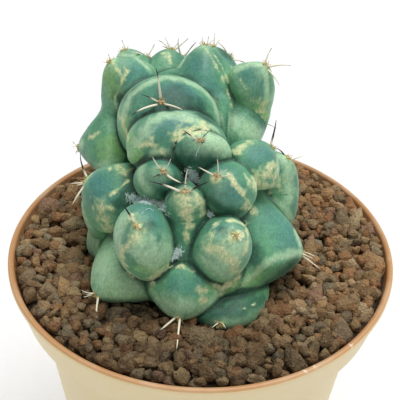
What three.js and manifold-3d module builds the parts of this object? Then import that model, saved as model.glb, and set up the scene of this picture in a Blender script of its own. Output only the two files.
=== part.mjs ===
// A two-headed coryphantha in a round plastic nursery pot, dressed with brown lava grit.
// Millimetres, +Z up. The origin lies under the pot's axis, on the surface that the pot stands on.
// The side that shows the most tubercles faces -Y.

import * as THREE from 'three';
import { mergeVertices } from 'three/addons/utils/BufferGeometryUtils.js';
import Module from 'manifold-3d';

const wasm = await Module();
wasm.setup();

// Pot
const POT_HEIGHT = 75;
const RIM_RADIUS = 42.5;
const LIP_WIDTH = 1.4;
const LIP_DEPTH = 1.6;
const LIP_OVERHANG = 0.4;
const LIP_STEPS = 6;
const COLLAR_DEPTH = 9.5;
const COLLAR_FOOT_RADIUS = 40.1;
const STEP_DEPTH = 2.5;
const STEP_POINTS = 3;
const BASE_RADIUS = 28.7;
const BODY_TAPER = 0.123;
const WALL = 1.2;
const FOOT_WIDTH = 3;
const FOOT_HEIGHT = 1.6;
const FOOT_EDGE = 0.8;
const FLOOR_TOP = 3;
const DRAIN_COUNT = 6;
const DRAIN_RADIUS = 3;
const DRAIN_CIRCLE = 17;
const DRAIN_SIDES = 12;
const POT_SIDES = 40;

// Fillings
const SUBSTRATE_TOP = 64;
const GRIT_BED_TOP = 73;
const CLEARANCE = 0.3;
const STONE_PITCH = 6;
const STONE_RADIUS = 3.1;
const STONE_RISE = 0.3;

// Cactus
const SPINE_RADIUS = 0.32;
const SPINE_ROOT = 1.2;
const SPINE_SIDES = 3;
const AREOLE_RADIUS = 0.5;
const LOWEST_SPINE_TIP = 76.5;
const TUBERCLE_BACK = 0.8;

// One tubercle: its middle and its tip in the pot's frame, its half width and half height across
// that axis, the turn of its section in degrees, and how round it is: 2 is an ellipsoid, and lower
// values draw it out into the blunt four-sided cone of an older tubercle. Spines are given by the
// steps from the areole at its tip to their own tips; null stands for a fan drawn by rule.
function tubercle(middle, tip, half, turn, round, spines = []) {
  return { middle, tip, half, turn, round, spines };
}

// The front head, from its crown down to the grit. A fold of flesh has no spines.
const FRONT_HEAD = [
  tubercle([-12, -3, 101], [-11.5, -7, 105], [3.6, 2.6], 0, 2),
  tubercle([-5.5, -1, 101.5], [-3, -4, 110], [10.6, 7.6], -35, 2),
  tubercle([-1, -5, 103], [-1, -9, 109], [6.5, 4.2], 0, 2, [
    [-3.2, -0.2, 2.3], [1.8, -0.2, 2.3], [1, -1.6, 0.4], [-1.1, -5.2, -2.4],
  ]),
  tubercle([-9, -6.5, 97.4], [-7.7, -12, 103.3], [5.2, 4.6], 0, 2, [
    [-2.3, 0.1, 3.5], [1.3, -0.1, 3.2], [4.4, -3, -0.7], [-2, -1.9, 0],
  ]),
  tubercle([5, -9, 97], [2.5, -13, 103.5], [5.9, 6.2], 30, 1.8, [
    [-3.9, -0.2, 2.2], [0, 0.7, 3.4], [3.4, -1, 1.2], [2, -0.6, 2],
  ]),
  tubercle([-3.5, -13, 95.5], [-3.5, -15, 101], [4.2, 3.9], 0, 1.9, [
    [4.6, -0.4, 2.8], [-6.8, -0.6, 2.5], [0.4, 1.4, 4.3],
  ]),
  tubercle([-3.3, -13.8, 93.5], [-3.8, -18.8, 85.5], [4.4, 3.6], 0, 1.5),
  tubercle([10, -2, 98.5], [14, -1, 102.5], [6.2, 6.6], 0, 1.7, [[0.5, 3.4, 4.5]]),
  tubercle([12.5, 5, 88.5], [18, 4, 96.5], [4.6, 7.4], 0, 1.8, [[-3.2, 1, 2.1], [3, 0.4, 0.5]]),
  tubercle([15.5, 3, 84], [20, 1.5, 83.5], [5.5, 6.5], 0, 1.8),
  tubercle([-17.5, -4, 90.5], [-24.5, -4, 95], [7.2, 8.6], 10, 1.6, [
    [-1.1, 3.3, 4.4], [-2.9, -0.9, -0.4], [-2.5, -3.3, -4.4], [-1.6, -1.2, -0.6],
  ]),
  tubercle([-21, -1, 83.5], [-24, -1, 81], [4.5, 6], 0, 1.8),
  tubercle([-11, -15, 88], [-12.5, -21, 97], [6.4, 7.7], 20, 2, [
    [-2.9, 1.4, 4.4], [1.2, -1.4, 0.4],
  ]),
  tubercle([3.5, -16, 87.5], [6.5, -21, 95.5], [6.3, 6.7], -20, 1.9, [
    [-1, -1.6, 1], [1.2, -1.4, -0.6], [1.4, -0.6, 1.4],
  ]),
  tubercle([-3, -18, 79.8], [-4, -25, 76.5], [8.5, 7.4], 0, 1.6, [
    [-5, -2.9, -1.8], [-0.2, -5.6, -2.6],
  ]),
  tubercle([-13.5, -10.5, 78], [-21.5, -19, 76.5], [10, 8.3], 0, 1.45, [
    [-2.8, 0.3, 1.2], [-2.4, -0.5, 0], [-1.6, -0.8, 0.9], [1.1, -4.6, -2.6],
  ]),
  tubercle([10, -7, 82], [21.5, -10, 82], [11.5, 10.5], -15, 1.5, [
    [3.4, -3, -1.5], [2.4, -0.7, -0.1], [1.8, -1.8, 0.3],
  ]),
  tubercle([5.5, -12.5, 73.8], [4.3, -25.8, 76], [9.3, 4.8], 0, 2.1, [[-1.6, -2.2, 1.4], [1, -2.2, 1.4]]),
  tubercle([-14, -9, 65.5], [-13, -13, 66.5], [9.5, 4.2], 0, 2),
  tubercle([-18.5, 0.5, 75], [-25.3, -1, 74], [6.5, 8], 0, 1.7),
];

// The taller back head, from its left side round the crown to its right side
const BACK_HEAD = [
  tubercle([-19.5, 12, 93.5], [-28, 12, 92], [9, 7.6], 0, 1.5, [
    [-1.5, 0, 0.3], [-0.6, -1.2, -0.8], [-1.4, 2, 0.4],
  ]),
  tubercle([-16.5, 16, 106.5], [-20.5, 15, 112.5], [5.7, 6.3], 0, 1.6, [
    [-1.7, 0, -0.2], [-0.4, 0.5, 1.3], [0.8, 0.2, 1.1],
  ]),
  tubercle([-19.5, 15, 103.5], [-19, 13, 98], [2.6, 4], 0, 1.8),
  tubercle([-16, 25, 103.5], [-18.5, 26, 109.5], [5.2, 5.4], 0, 1.7, [
    [-0.6, 1, 1.8], [-1.1, -0.2, 0.4], [0.9, 0, 1],
  ]),
  tubercle([-9, 25, 103.5], [-8, 27, 109.5], [5.6, 6.3], 0, 1.7, [
    [-2.9, 0.9, 1.5], [-1.5, 1, 2.2], [3.7, 1, 2.2], [1.6, 0.4, 1.5], [-0.4, -0.6, 1.4],
  ]),
  tubercle([-7.5, 8.5, 101], [-9, 0.5, 111.5], [11.2, 10.2], 0, 2, [
    [-1, 1.4, 6.9], [-5.5, -4.2, -0.7], [-3.8, 0, 1.6], [4.7, -3.5, 0.4],
  ]),
  tubercle([-0.5, 17.5, 105], [-0.5, 20, 114.5], [7.6, 8], 0, 1.5, [
    [-0.7, 0.6, 1.6], [0.7, 0.6, 1.6], [1.8, 0.3, 1], [-1.4, -0.6, 0.6],
  ]),
  tubercle([2, 26, 103], [1, 28, 110], [6, 6.5], 0, 1.6, [[0.6, 1.4, 2.4], [1.8, 0.6, 1.4]]),
  tubercle([9.5, 15, 108], [12.5, 14.5, 113], [4, 4.8], 0, 1.6, [
    [5.2, 0, 0], [1.1, 2.2, 2.9], [2.9, -2.6, -3.3],
  ]),
  tubercle([10.5, 14.5, 104.5], [11.8, 13.5, 99], [2.6, 3.4], 0, 1.8),
  tubercle([7.5, 13, 98], [12.5, 12.5, 98.5], [8, 6.5], 0, 1.8),
];

// The back head's far side: rings of even tubercles round its axis. A ring has its first bearing
// and the step to the next in degrees from +X towards +Y, the heights of the middles and the tips,
// and their distances from the axis.
const BACK_AXIS = [-4, 15];
const BACK_RINGS = [
  { first: 8, step: 38, count: 5, middleHeight: 79, tipHeight: 78, middleOut: 11, tipOut: 19, half: [8.5, 8] },
  { first: 28, step: 40, count: 4, middleHeight: 91, tipHeight: 94, middleOut: 11, tipOut: 18.5, half: [7.5, 7.5] },
  { first: 58, step: 38, count: 3, middleHeight: 101, tipHeight: 106, middleOut: 9.5, tipOut: 15, half: [6.5, 6.5] },
];
const RING_ROUNDNESS = 1.7;
const FAN_SPINES = 4;
const FAN_LENGTH = 5;
const FAN_LEAN = 1.0;

// The flesh under the tubercles: middle and half axes of each head, and the root's profile
const HEAD_CORES = [
  { middle: [-1, -3, 80], half: [19, 19, 16] },
  { middle: [-4, 15, 88], half: [17, 15, 22] },
];
const ROOT_AXIS = [-2.5, 5];
const ROOT_PROFILE = [[0, 34], [1.8, 36], [4.5, 46], [7.5, 56], [14, 63], [17, 69], [12, 76], [0, 78]];
const ROOT_SIDES = 20;
const ROOT_DEPTH_SCALE = 1.35;

// A small repeatable random number source, so that every build places the same stones and spines
function seededDraw(seed) {
  let state = seed;
  return () => {
    state = (state * 1664525 + 1013904223) % 4294967296;
    return state / 4294967296;
  };
}

// A closed three.js geometry as a solid: only its corner points, merged, with no flat triangles
function solidOf(geometry) {
  const bare = geometry.clone();
  bare.deleteAttribute('normal');
  bare.deleteAttribute('uv');
  const merged = mergeVertices(bare, 1e-4);
  const points = merged.getAttribute('position').array;
  const corners = [];
  for (let i = 0; i < merged.index.count; i += 3) {
    const [a, b, c] = [0, 1, 2].map((k) => merged.index.getX(i + k));
    if (a !== b && b !== c && c !== a) corners.push(a, b, c);
  }
  if (signedVolume(points, corners) < 0) corners.reverse();
  const mesh = new wasm.Mesh({
    numProp: 3,
    vertProperties: Float32Array.from(points),
    triVerts: Uint32Array.from(corners),
  });
  return new wasm.Manifold(mesh);
}

// Six times the enclosed volume: negative where the faces point inwards
function signedVolume(points, corners) {
  const at = (i) => new THREE.Vector3().fromArray(points, corners[i] * 3);
  let sum = 0;
  for (let i = 0; i < corners.length; i += 3) sum += at(i).dot(at(i + 1).cross(at(i + 2)));
  return sum;
}

// A solid back as a named mesh in the scene graph
function pieceOf(name, solid, colour, roughness) {
  const { vertProperties, triVerts } = solid.getMesh();
  const geometry = new THREE.BufferGeometry();
  geometry.setAttribute('position', new THREE.BufferAttribute(Float32Array.from(vertProperties), 3));
  geometry.setIndex(new THREE.BufferAttribute(Uint32Array.from(triVerts), 1));
  geometry.computeVertexNormals();
  const material = new THREE.MeshStandardMaterial({ color: colour, roughness, metalness: 0 });
  const piece = new THREE.Mesh(geometry, material);
  piece.name = name;
  return piece;
}

// A profile of [radius, height] pairs turned round the vertical axis
function turned(profile, sides) {
  const points = profile.map(([radius, height]) => new THREE.Vector2(radius, height));
  return new THREE.LatheGeometry(points, sides).rotateX(Math.PI / 2);
}

const joined = (solids) => solids.reduce((whole, next) => whole.add(next));

// The largest body of a solid: crumbs that a cut leaves behind are dropped
function largestBody(solid) {
  return solid.decompose().sort((a, b) => b.volume() - a.volume())[0];
}

// Outer wall of the pot at each height, from the foot up to the lip
const STEP_TOP = POT_HEIGHT - COLLAR_DEPTH;
const STEP_FOOT = STEP_TOP - STEP_DEPTH;
const COLLAR_TOP_RADIUS = RIM_RADIUS - LIP_OVERHANG;
const bodyRadius = (height) => BASE_RADIUS + BODY_TAPER * height;

// Inner wall of the pot at a height, one wall thickness inside the outer one
function innerRadius(height) {
  const corners = [
    [FLOOR_TOP, bodyRadius(FLOOR_TOP)],
    [STEP_FOOT, bodyRadius(STEP_FOOT)],
    [STEP_TOP, COLLAR_FOOT_RADIUS],
    [POT_HEIGHT - LIP_DEPTH, COLLAR_TOP_RADIUS],
    [POT_HEIGHT, COLLAR_TOP_RADIUS],
  ];
  const upper = corners.findIndex(([level]) => level >= height);
  const [high, outer] = corners[Math.max(upper, 1)];
  const [low, inner] = corners[Math.max(upper, 1) - 1];
  return THREE.MathUtils.mapLinear(height, low, high, inner, outer) - WALL;
}

function pot() {
  const foot = [
    [0, FOOT_HEIGHT],
    [BASE_RADIUS - FOOT_WIDTH - FOOT_EDGE, FOOT_HEIGHT],
    [BASE_RADIUS - FOOT_WIDTH, 0],
    [BASE_RADIUS - FOOT_EDGE, 0],
    [bodyRadius(FOOT_EDGE), FOOT_EDGE],
    [bodyRadius(STEP_FOOT), STEP_FOOT],
  ];
  const step = [];
  for (let i = 1; i <= STEP_POINTS; i += 1) {
    const part = i / (STEP_POINTS + 1);
    const swell = THREE.MathUtils.smoothstep(part, 0, 1);
    const radius = THREE.MathUtils.lerp(bodyRadius(STEP_FOOT), COLLAR_FOOT_RADIUS, swell);
    step.push([radius, STEP_FOOT + STEP_DEPTH * part]);
  }
  const collar = [
    [COLLAR_FOOT_RADIUS, STEP_TOP],
    [COLLAR_TOP_RADIUS, POT_HEIGHT - LIP_DEPTH],
    [RIM_RADIUS, POT_HEIGHT - LIP_DEPTH + LIP_OVERHANG],
  ];
  const lipRadius = LIP_WIDTH / 2;
  const lip = [];
  for (let i = 0; i <= LIP_STEPS; i += 1) {
    const angle = (Math.PI * i) / LIP_STEPS;
    const across = RIM_RADIUS - lipRadius + lipRadius * Math.cos(angle);
    lip.push([across, POT_HEIGHT - lipRadius + lipRadius * Math.sin(angle)]);
  }
  const inside = [];
  for (const height of [POT_HEIGHT - LIP_DEPTH, STEP_TOP, STEP_FOOT, FLOOR_TOP]) {
    inside.push([innerRadius(height), height]);
  }
  const profile = [...foot, ...step, ...collar, ...lip, ...inside, [0, FLOOR_TOP]];
  const shell = solidOf(turned(profile, POT_SIDES));
  const drains = [];
  for (let i = 0; i < DRAIN_COUNT; i += 1) {
    const bearing = (2 * Math.PI * i) / DRAIN_COUNT;
    const drain = new THREE.CylinderGeometry(DRAIN_RADIUS, DRAIN_RADIUS, 2 * FLOOR_TOP, DRAIN_SIDES);
    drain.rotateX(Math.PI / 2).translate(DRAIN_CIRCLE, 0, FLOOR_TOP / 2).rotateZ(bearing);
    drains.push(solidOf(drain));
  }
  return shell.subtract(joined(drains));
}

// A filling that follows the inner wall of the pot between two heights
function filling(low, high) {
  const levels = [low, ...[STEP_FOOT, STEP_TOP].filter((level) => level > low && level < high), high];
  const wall = levels.map((height) => [innerRadius(height) - CLEARANCE, height]);
  return solidOf(turned([[0, low], ...wall, [0, high]], POT_SIDES));
}

// One tubercle's flesh. A sphere whose poles lie on its axis is squared off by the roundness, then
// stretched from the middle to the tip and set across the axis.
function tubercleFlesh(form, grow) {
  const middle = new THREE.Vector3(...form.middle);
  const axis = new THREE.Vector3(...form.tip).sub(middle);
  const reach = axis.length() + grow;
  axis.normalize();
  const level = new THREE.Vector3().crossVectors(axis, new THREE.Vector3(0, 0, 1)).normalize();
  const upright = new THREE.Vector3().crossVectors(level, axis);
  const turn = new THREE.Quaternion().setFromAxisAngle(axis, THREE.MathUtils.degToRad(form.turn));
  level.applyQuaternion(turn);
  upright.applyQuaternion(turn);
  const flesh = new THREE.SphereGeometry(1, 12, 6).rotateX(Math.PI / 2);
  const place = flesh.getAttribute('position');
  for (let i = 0; i < place.count; i += 1) {
    const [x, y, z] = [place.getX(i), place.getY(i), place.getZ(i)];
    const powers = [x, y, z].map((part) => Math.abs(part) ** form.round);
    const spread = (powers[0] + powers[1] + powers[2]) ** (1 / form.round);
    const point = middle.clone();
    point.addScaledVector(level, ((form.half[0] + grow) * x) / spread);
    point.addScaledVector(upright, ((form.half[1] + grow) * y) / spread);
    point.addScaledVector(axis, ((z > 0 ? reach : TUBERCLE_BACK * reach) * z) / spread);
    place.setXYZ(i, point.x, point.y, point.z);
  }
  return solidOf(flesh);
}

function ringTubercles(ring) {
  const [axisX, axisY] = BACK_AXIS;
  const forms = [];
  for (let i = 0; i < ring.count; i += 1) {
    const bearing = THREE.MathUtils.degToRad(ring.first + ring.step * i);
    const out = (distance, height) => [
      axisX + distance * Math.cos(bearing),
      axisY + distance * Math.sin(bearing),
      height,
    ];
    const middle = out(ring.middleOut, ring.middleHeight);
    const tip = out(ring.tipOut, ring.tipHeight);
    forms.push(tubercle(middle, tip, ring.half, 0, RING_ROUNDNESS, null));
  }
  return forms;
}

// Steps from an areole to the tips of an even fan of spines that lean out round the tubercle's axis
function fanOfSpines(form, draw) {
  const axis = new THREE.Vector3(...form.tip).sub(new THREE.Vector3(...form.middle)).normalize();
  const level = new THREE.Vector3().crossVectors(axis, new THREE.Vector3(0, 0, 1)).normalize();
  const start = draw() * Math.PI;
  const steps = [];
  for (let i = 0; i < FAN_SPINES; i += 1) {
    const bearing = start + (2 * Math.PI * (i + 0.3 * draw())) / FAN_SPINES;
    const step = level.clone().applyAxisAngle(axis, bearing).multiplyScalar(Math.sin(FAN_LEAN));
    step.addScaledVector(axis, Math.cos(FAN_LEAN)).multiplyScalar(FAN_LENGTH * (0.8 + 0.4 * draw()));
    steps.push(step.toArray());
  }
  return steps;
}

// A spine as a slim cone, from inside the flesh on its own side of the areole to its tip, which
// stays clear of the grit
function spine(form, step) {
  const areole = new THREE.Vector3(...form.tip);
  const axis = areole.clone().sub(new THREE.Vector3(...form.middle)).normalize();
  const tip = new THREE.Vector3(...step).add(areole);
  tip.z = Math.max(tip.z, LOWEST_SPINE_TIP);
  const side = tip.clone().sub(areole).projectOnPlane(axis).normalize();
  const root = areole.addScaledVector(axis, -SPINE_ROOT).addScaledVector(side, AREOLE_RADIUS);
  const along = tip.clone().sub(root).normalize();
  const length = tip.distanceTo(root);
  const cone = new THREE.ConeGeometry(SPINE_RADIUS, length, SPINE_SIDES).translate(0, length / 2, 0);
  cone.applyQuaternion(new THREE.Quaternion().setFromUnitVectors(new THREE.Vector3(0, 1, 0), along));
  return solidOf(cone.translate(root.x, root.y, root.z));
}

// A tubercle whose tip lies in the grit shows no spines
const buried = (form) => form.tip[2] < GRIT_BED_TOP + STONE_RADIUS;

// Flesh of both heads with their tubercles and the root, with every piece grown by the same amount
function flesh(forms, grow) {
  const cores = HEAD_CORES.map(({ middle, half }) => {
    const core = new THREE.SphereGeometry(1, 16, 8).rotateX(Math.PI / 2);
    core.scale(...half.map((axis) => axis + grow));
    return solidOf(core.translate(...middle));
  });
  const root = turned(ROOT_PROFILE.map(([radius, height], i) => [
    radius > 0 ? radius + grow : 0,
    i === 0 ? height - grow : height,
  ]), ROOT_SIDES);
  root.scale(1, ROOT_DEPTH_SCALE, 1).translate(...ROOT_AXIS, 0);
  return joined([...cores, solidOf(root), ...forms.map((form) => tubercleFlesh(form, grow))]);
}

function spines(forms) {
  const draw = seededDraw(7);
  return forms.filter((form) => !buried(form)).flatMap((form) => {
    const steps = form.spines ?? fanOfSpines(form, draw);
    return steps.map((step) => spine(form, step));
  });
}

// One stone of grit: a small squashed icosahedron, turned at random and half sunk in the bed
function stone(x, y, draw) {
  const size = STONE_RADIUS * (0.85 + 0.3 * draw());
  const shape = new THREE.IcosahedronGeometry(size, 0);
  shape.rotateX(draw() * Math.PI).rotateY(draw() * Math.PI);
  shape.scale(1, 1, 0.75).rotateZ(draw() * Math.PI);
  return solidOf(shape.translate(x, y, GRIT_BED_TOP + STONE_RISE * draw()));
}

// Stones over the whole bed: rings of stones, the outermost just clear of the pot's wall
function stones() {
  const draw = seededDraw(23);
  const outermost = innerRadius(GRIT_BED_TOP) - CLEARANCE - STONE_RADIUS * 1.15;
  const placed = [];
  for (let radius = outermost; radius > STONE_PITCH; radius -= STONE_PITCH * 0.9) {
    const count = Math.floor((2 * Math.PI * radius) / STONE_PITCH);
    const start = draw() * Math.PI;
    for (let i = 0; i < count; i += 1) {
      const bearing = start + (2 * Math.PI * (i + 0.25 * draw())) / count;
      const out = radius - 0.6 * draw();
      placed.push(stone(out * Math.cos(bearing), out * Math.sin(bearing), draw));
    }
  }
  return placed;
}

const tubercles = [...FRONT_HEAD, ...BACK_HEAD, ...BACK_RINGS.flatMap(ringTubercles)];
const cactus = flesh(tubercles, 0).add(joined(spines(tubercles)));
const hole = flesh(tubercles, CLEARANCE);
const grit = largestBody(filling(SUBSTRATE_TOP, GRIT_BED_TOP).add(joined(stones())).subtract(hole));
const substrate = filling(FLOOR_TOP, SUBSTRATE_TOP).subtract(hole);

const group = new THREE.Group();
group.add(
  pieceOf('pot', pot(), 0xdcc8a5, 0.6),
  pieceOf('substrate', substrate, 0x4a3526, 0.95),
  pieceOf('top_grit', grit, 0x8b6f58, 0.95),
  pieceOf('cactus', cactus, 0x5e9080, 0.5),
);

export default group;
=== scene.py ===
"""The looks of a two-headed coryphantha in a round plastic nursery pot, dressed with lava grit.

The pieces are shaped in millimetres and turned to metres when they are finished. +Z is up, the
origin lies under the pot's axis, and the camera stands on the -Y side.
"""

import random
from collections import namedtuple
from math import cos, floor, hypot, pi, radians, sin, sqrt

import bmesh
import bpy
import numpy as np
from mathutils import Matrix, Quaternion, Vector, noise
from mathutils.bvhtree import BVHTree


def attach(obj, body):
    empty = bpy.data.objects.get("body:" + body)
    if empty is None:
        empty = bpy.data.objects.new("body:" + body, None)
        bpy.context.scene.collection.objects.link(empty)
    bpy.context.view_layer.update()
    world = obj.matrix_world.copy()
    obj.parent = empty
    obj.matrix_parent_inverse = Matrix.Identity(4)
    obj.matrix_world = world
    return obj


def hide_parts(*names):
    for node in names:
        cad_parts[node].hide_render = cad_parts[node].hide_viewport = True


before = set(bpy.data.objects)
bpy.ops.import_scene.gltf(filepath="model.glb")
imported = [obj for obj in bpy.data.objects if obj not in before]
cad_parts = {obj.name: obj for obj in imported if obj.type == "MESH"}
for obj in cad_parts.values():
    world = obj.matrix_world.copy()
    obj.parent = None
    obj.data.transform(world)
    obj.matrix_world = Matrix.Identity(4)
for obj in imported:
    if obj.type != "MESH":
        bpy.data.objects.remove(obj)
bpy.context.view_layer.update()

MM = 0.001
MERGING = 0.001
SIGHTS_PER_PIXEL = 2

# Seeds of the random draws
MARK_SEED = 11
SPINE_SEED = 5
WOOL_SEED = 17
PILE_SEED = 29
STONE_SEED = 31

# Camera, fitted to the ellipse of the pot's rim in the photograph
PHOTO_PIXELS = 400
SENSOR_WIDTH = 36
FOCAL_PIXELS = 925.6
CAMERA_TARGET = Vector((-0.55, 16.87, 75))
CAMERA_DISTANCE = 220
CAMERA_ELEVATION = 36.99
CAMERA_ROLL = 1.80

# Pot
POT_HEIGHT = 75
RIM_RADIUS = 42.5
LIP_WIDTH = 1.4
LIP_DEPTH = 1.6
LIP_OVERHANG = 0.4
COLLAR_DEPTH = 9.5
COLLAR_FOOT_RADIUS = 40.1
STEP_DEPTH = 2.5
BASE_RADIUS = 28.7
BODY_TAPER = 0.123
WALL = 1.2
FOOT_WIDTH = 3
FOOT_HEIGHT = 1.6
FOOT_EDGE = 0.8
FLOOR_TOP = 3
DRAIN_COUNT = 6
DRAIN_RADIUS = 3
DRAIN_CIRCLE = 17
POT_SIDES = 180
DRAIN_SIDES = 40
LIP_STEPS = 14
STEP_POINTS = 8

# Grit, in millimetres: its bed keeps a clearance from the pot's wall, and its stones a smaller gap
BED_FOOT = 64
BED_TOP = 73
CLEARANCE = 0.3
WALL_GAP = 0.1
PILE_TOP = 75.9
STONE_TRIES = 12000

# A stone's half size, with more small stones as the bias grows. The other values are shares of that
# size: how close two stones come, how high a stone's middle lies on the bed, how far it rises above
# its middle, and how close its middle comes to the wall and to the plant.
STONE_SIZES = (1.1, 2.9)
STONE_BIAS = 1.4
STONE_TOUCH = 0.62
STONE_SEAT = 0.2
STONE_RISE = 0.7
STONE_WALL_GAP = 0.5
STONE_PLANT_GAP = 0.5

# A stone is a ball swollen by noise of these depths and finenesses, then cut back towards planes at
# this distance from its middle, then stretched
STONE_LUMPS = [(0.7, 1.2), (0.35, 3)]
STONE_CUTS = 4
STONE_CUT_PLACE = 0.68
STONE_CUT_SHARE = 0.8
STONE_STRETCH = (0.75, 1.35)
NOISE_SHIFT = 50

# A stone has one of these colours, in a shade between these two
STONE_COLOURS = [
    "9E7A54", "A68058", "8E6E4C", "AE8C62", "866848", "B0906A", "A07650", "986844", "947C5C",
    "B4986E", "847058", "785E42", "8C7E66", "7E745C", "B8A07C", "A4744C", "94705A",
]
STONE_SHADES = (0.62, 1)

# Painted shade on the stones: how much darker they are towards the camera, in the plant's shadow,
# where that starts and how long it takes to be full, then how much darker they are in the shade
# beside the plant, and how far out that reaches
PAINTED_FRONT_SHADE = 0.6
PAINTED_FRONT_SHADE_START = -16
PAINTED_FRONT_SHADE_FADE = 18
PAINTED_PLANT_SHADE = 0.35
PAINTED_PLANT_SHADE_REACH = 7

# The grit in the deep shade under the lowest tubercles: middle, reach and how much darker it is. The
# shade is full within this share of its reach.
SHADED_GRIT = [((-12, -19), 8, 0.9), ((15, -16), 6, 0.4)]
SHADE_HEART = 0.375

# Skin, in millimetres: the grain of its mesh, how far crisp and soft neighbours run into each other,
# and how soon a farther neighbour has no more say in that. The power keeps half-soft ones crisp.
TUBERCLE_CUTS = 4
VOXEL = 0.44
CRISP_JOIN = 0.1
SOFT_JOIN = 1.6
JOIN_FADE = 0.8
JOIN_POWER = 3

# How far a tubercle reaches behind its middle, as a share of its reach in front
TUBERCLE_BACK = 0.8

# The skin is smoothed by a factor for some rounds, then settles on the tubercles for some rounds. It
# settles above a height, fully so a little higher, and only where it lies this close to them.
SKIN_ROUNDS = [(0.5, 6, 3), (0.5, 2, 2), (0.4, 1, 0)]
SETTLING_FOOT = 67
SETTLING_FADE = 4
SETTLING_REACH = 2.5
SETTLING_SHARE = 0.8

# The swell of the finished skin: its depth, then the sizes of its broad and its fine noise and the
# share that the fine one has
WAX_SWELL = 0.16
SWELL_GRAIN = (5, 1.8, 0.4)

# Spines, in millimetres
HAIR_SIDES = 3
SPINE_SIDES = 7
SPINE_CUTS = 5
SPINE_ROOT = 0.6
SPINE_SPREAD = 0.35
SPINE_THICKNESS = 0.28
SPINE_TIP = 0.05
SPINE_TAPER = 1.3
SPINE_BOW = 0.07
SPINE_BOW_SPREAD = 0.03
LOWEST_SPINE_TIP = 75.4

# A short spine is thinner: its share of the thickness at no length, and the length that adds one
SHORT_SPINE_SHARE = 0.2
SHORT_SPINE_LENGTH = 8

# Tubercles whose tips lie this far under the top of the grit bear no spines
SUNK_DEPTH = 5

# A fan of spines: how far one strays from its even place, its length in millimetres and the shares
# of it that occur, its lean in radians, and how much of a spine is black
FAN_SPINES = 5
FAN_JITTER = 0.4
FAN_LENGTH = 5.5
FAN_SHARES = (0.55, 1.1)
FAN_LEAN = 1.1
FAN_BLACKS = (0, 0.1, 0.25, 0.4)

# Areoles are young within the first distance of this point, and old beyond the second
YOUNG_MIDDLE = Vector((-5, -6, 104))
YOUNG_REACH = (8.4, 22.4)

# Felt, in millimetres, with the leans of its hairs in radians
FELT_LUMPS = 8
FELT_LUMP_SIZES = (0.15, 0.3)
FELT_LUMP_SPREAD = 0.32
FELT_LUMP_SEAT = 0.1
FELT_LUMP_STRETCH = (0.75, 1.25)
FELT_HAIRS = 16
FELT_HAIR_SPREAD = 0.35
FELT_HAIR_ROOT = 0.1
FELT_HAIR_LENGTHS = (0.5, 1.1)
FELT_HAIR_LEANS = (0.4, 1.4)
FELT_HAIR_THICKNESS = 0.06
FELT_HAIR_BOW = 0.08

# Wool, in millimetres: the hairs at each point of a tuft, how high they lift and how they bow. The
# skin under a tuft is pale to this many of its widths, and no farther than the reach.
WOOL_HAIRS = 9
WOOL_LENGTHS = (0.4, 1.1)
WOOL_THICKNESS = 0.05
WOOL_LIFT = 0.25
WOOL_ARCH = 0.2
WOOL_BOW = 0.12
WOOL_SPREAD = 1.5
WOOL_REACH = 9

# Fallen threads: the points of the path that one piece spans, and millimetres
THREAD_POINTS = 6
THREAD_THICKNESS = 0.07
THREAD_LIFT = 0.05

# Noise at the edge of a mark: its sizes in millimetres and the share of the finer one, and how much
# of it is taken off. Then where the edge lies across the stroke, and how steeply the mark fades.
EDGE_GRAIN = (1.6, 0.7, 0.7)
EDGE_INSET = 0.1
EDGE_PLACE = 0.85
EDGE_STEEPNESS = 1.3

# A mark of the far side wanders in steps of millimetres, and turns by so much at each
WANDER_STEP = 0.5
WANDER_TURN = 0.3

Tubercle = namedtuple("Tubercle", "middle tip half turn round soft spines")


def tubercle(middle, tip, half, turn, roundness, soft=0.0, spines=()):
    """One tubercle: its middle and tip, its half width and half height across that axis, the turn
    of its section in degrees, and how round it is: 2 is an ellipsoid, and lower values draw it out
    into a blunt four-sided cone. The softer of two neighbours, from 0 to 1, run together in a saddle.
    Its spines are steps from the areole at its tip to their own tips, each with the black share."""
    return Tubercle(Vector(middle), Vector(tip), half, turn, roundness, soft, spines)


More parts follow.
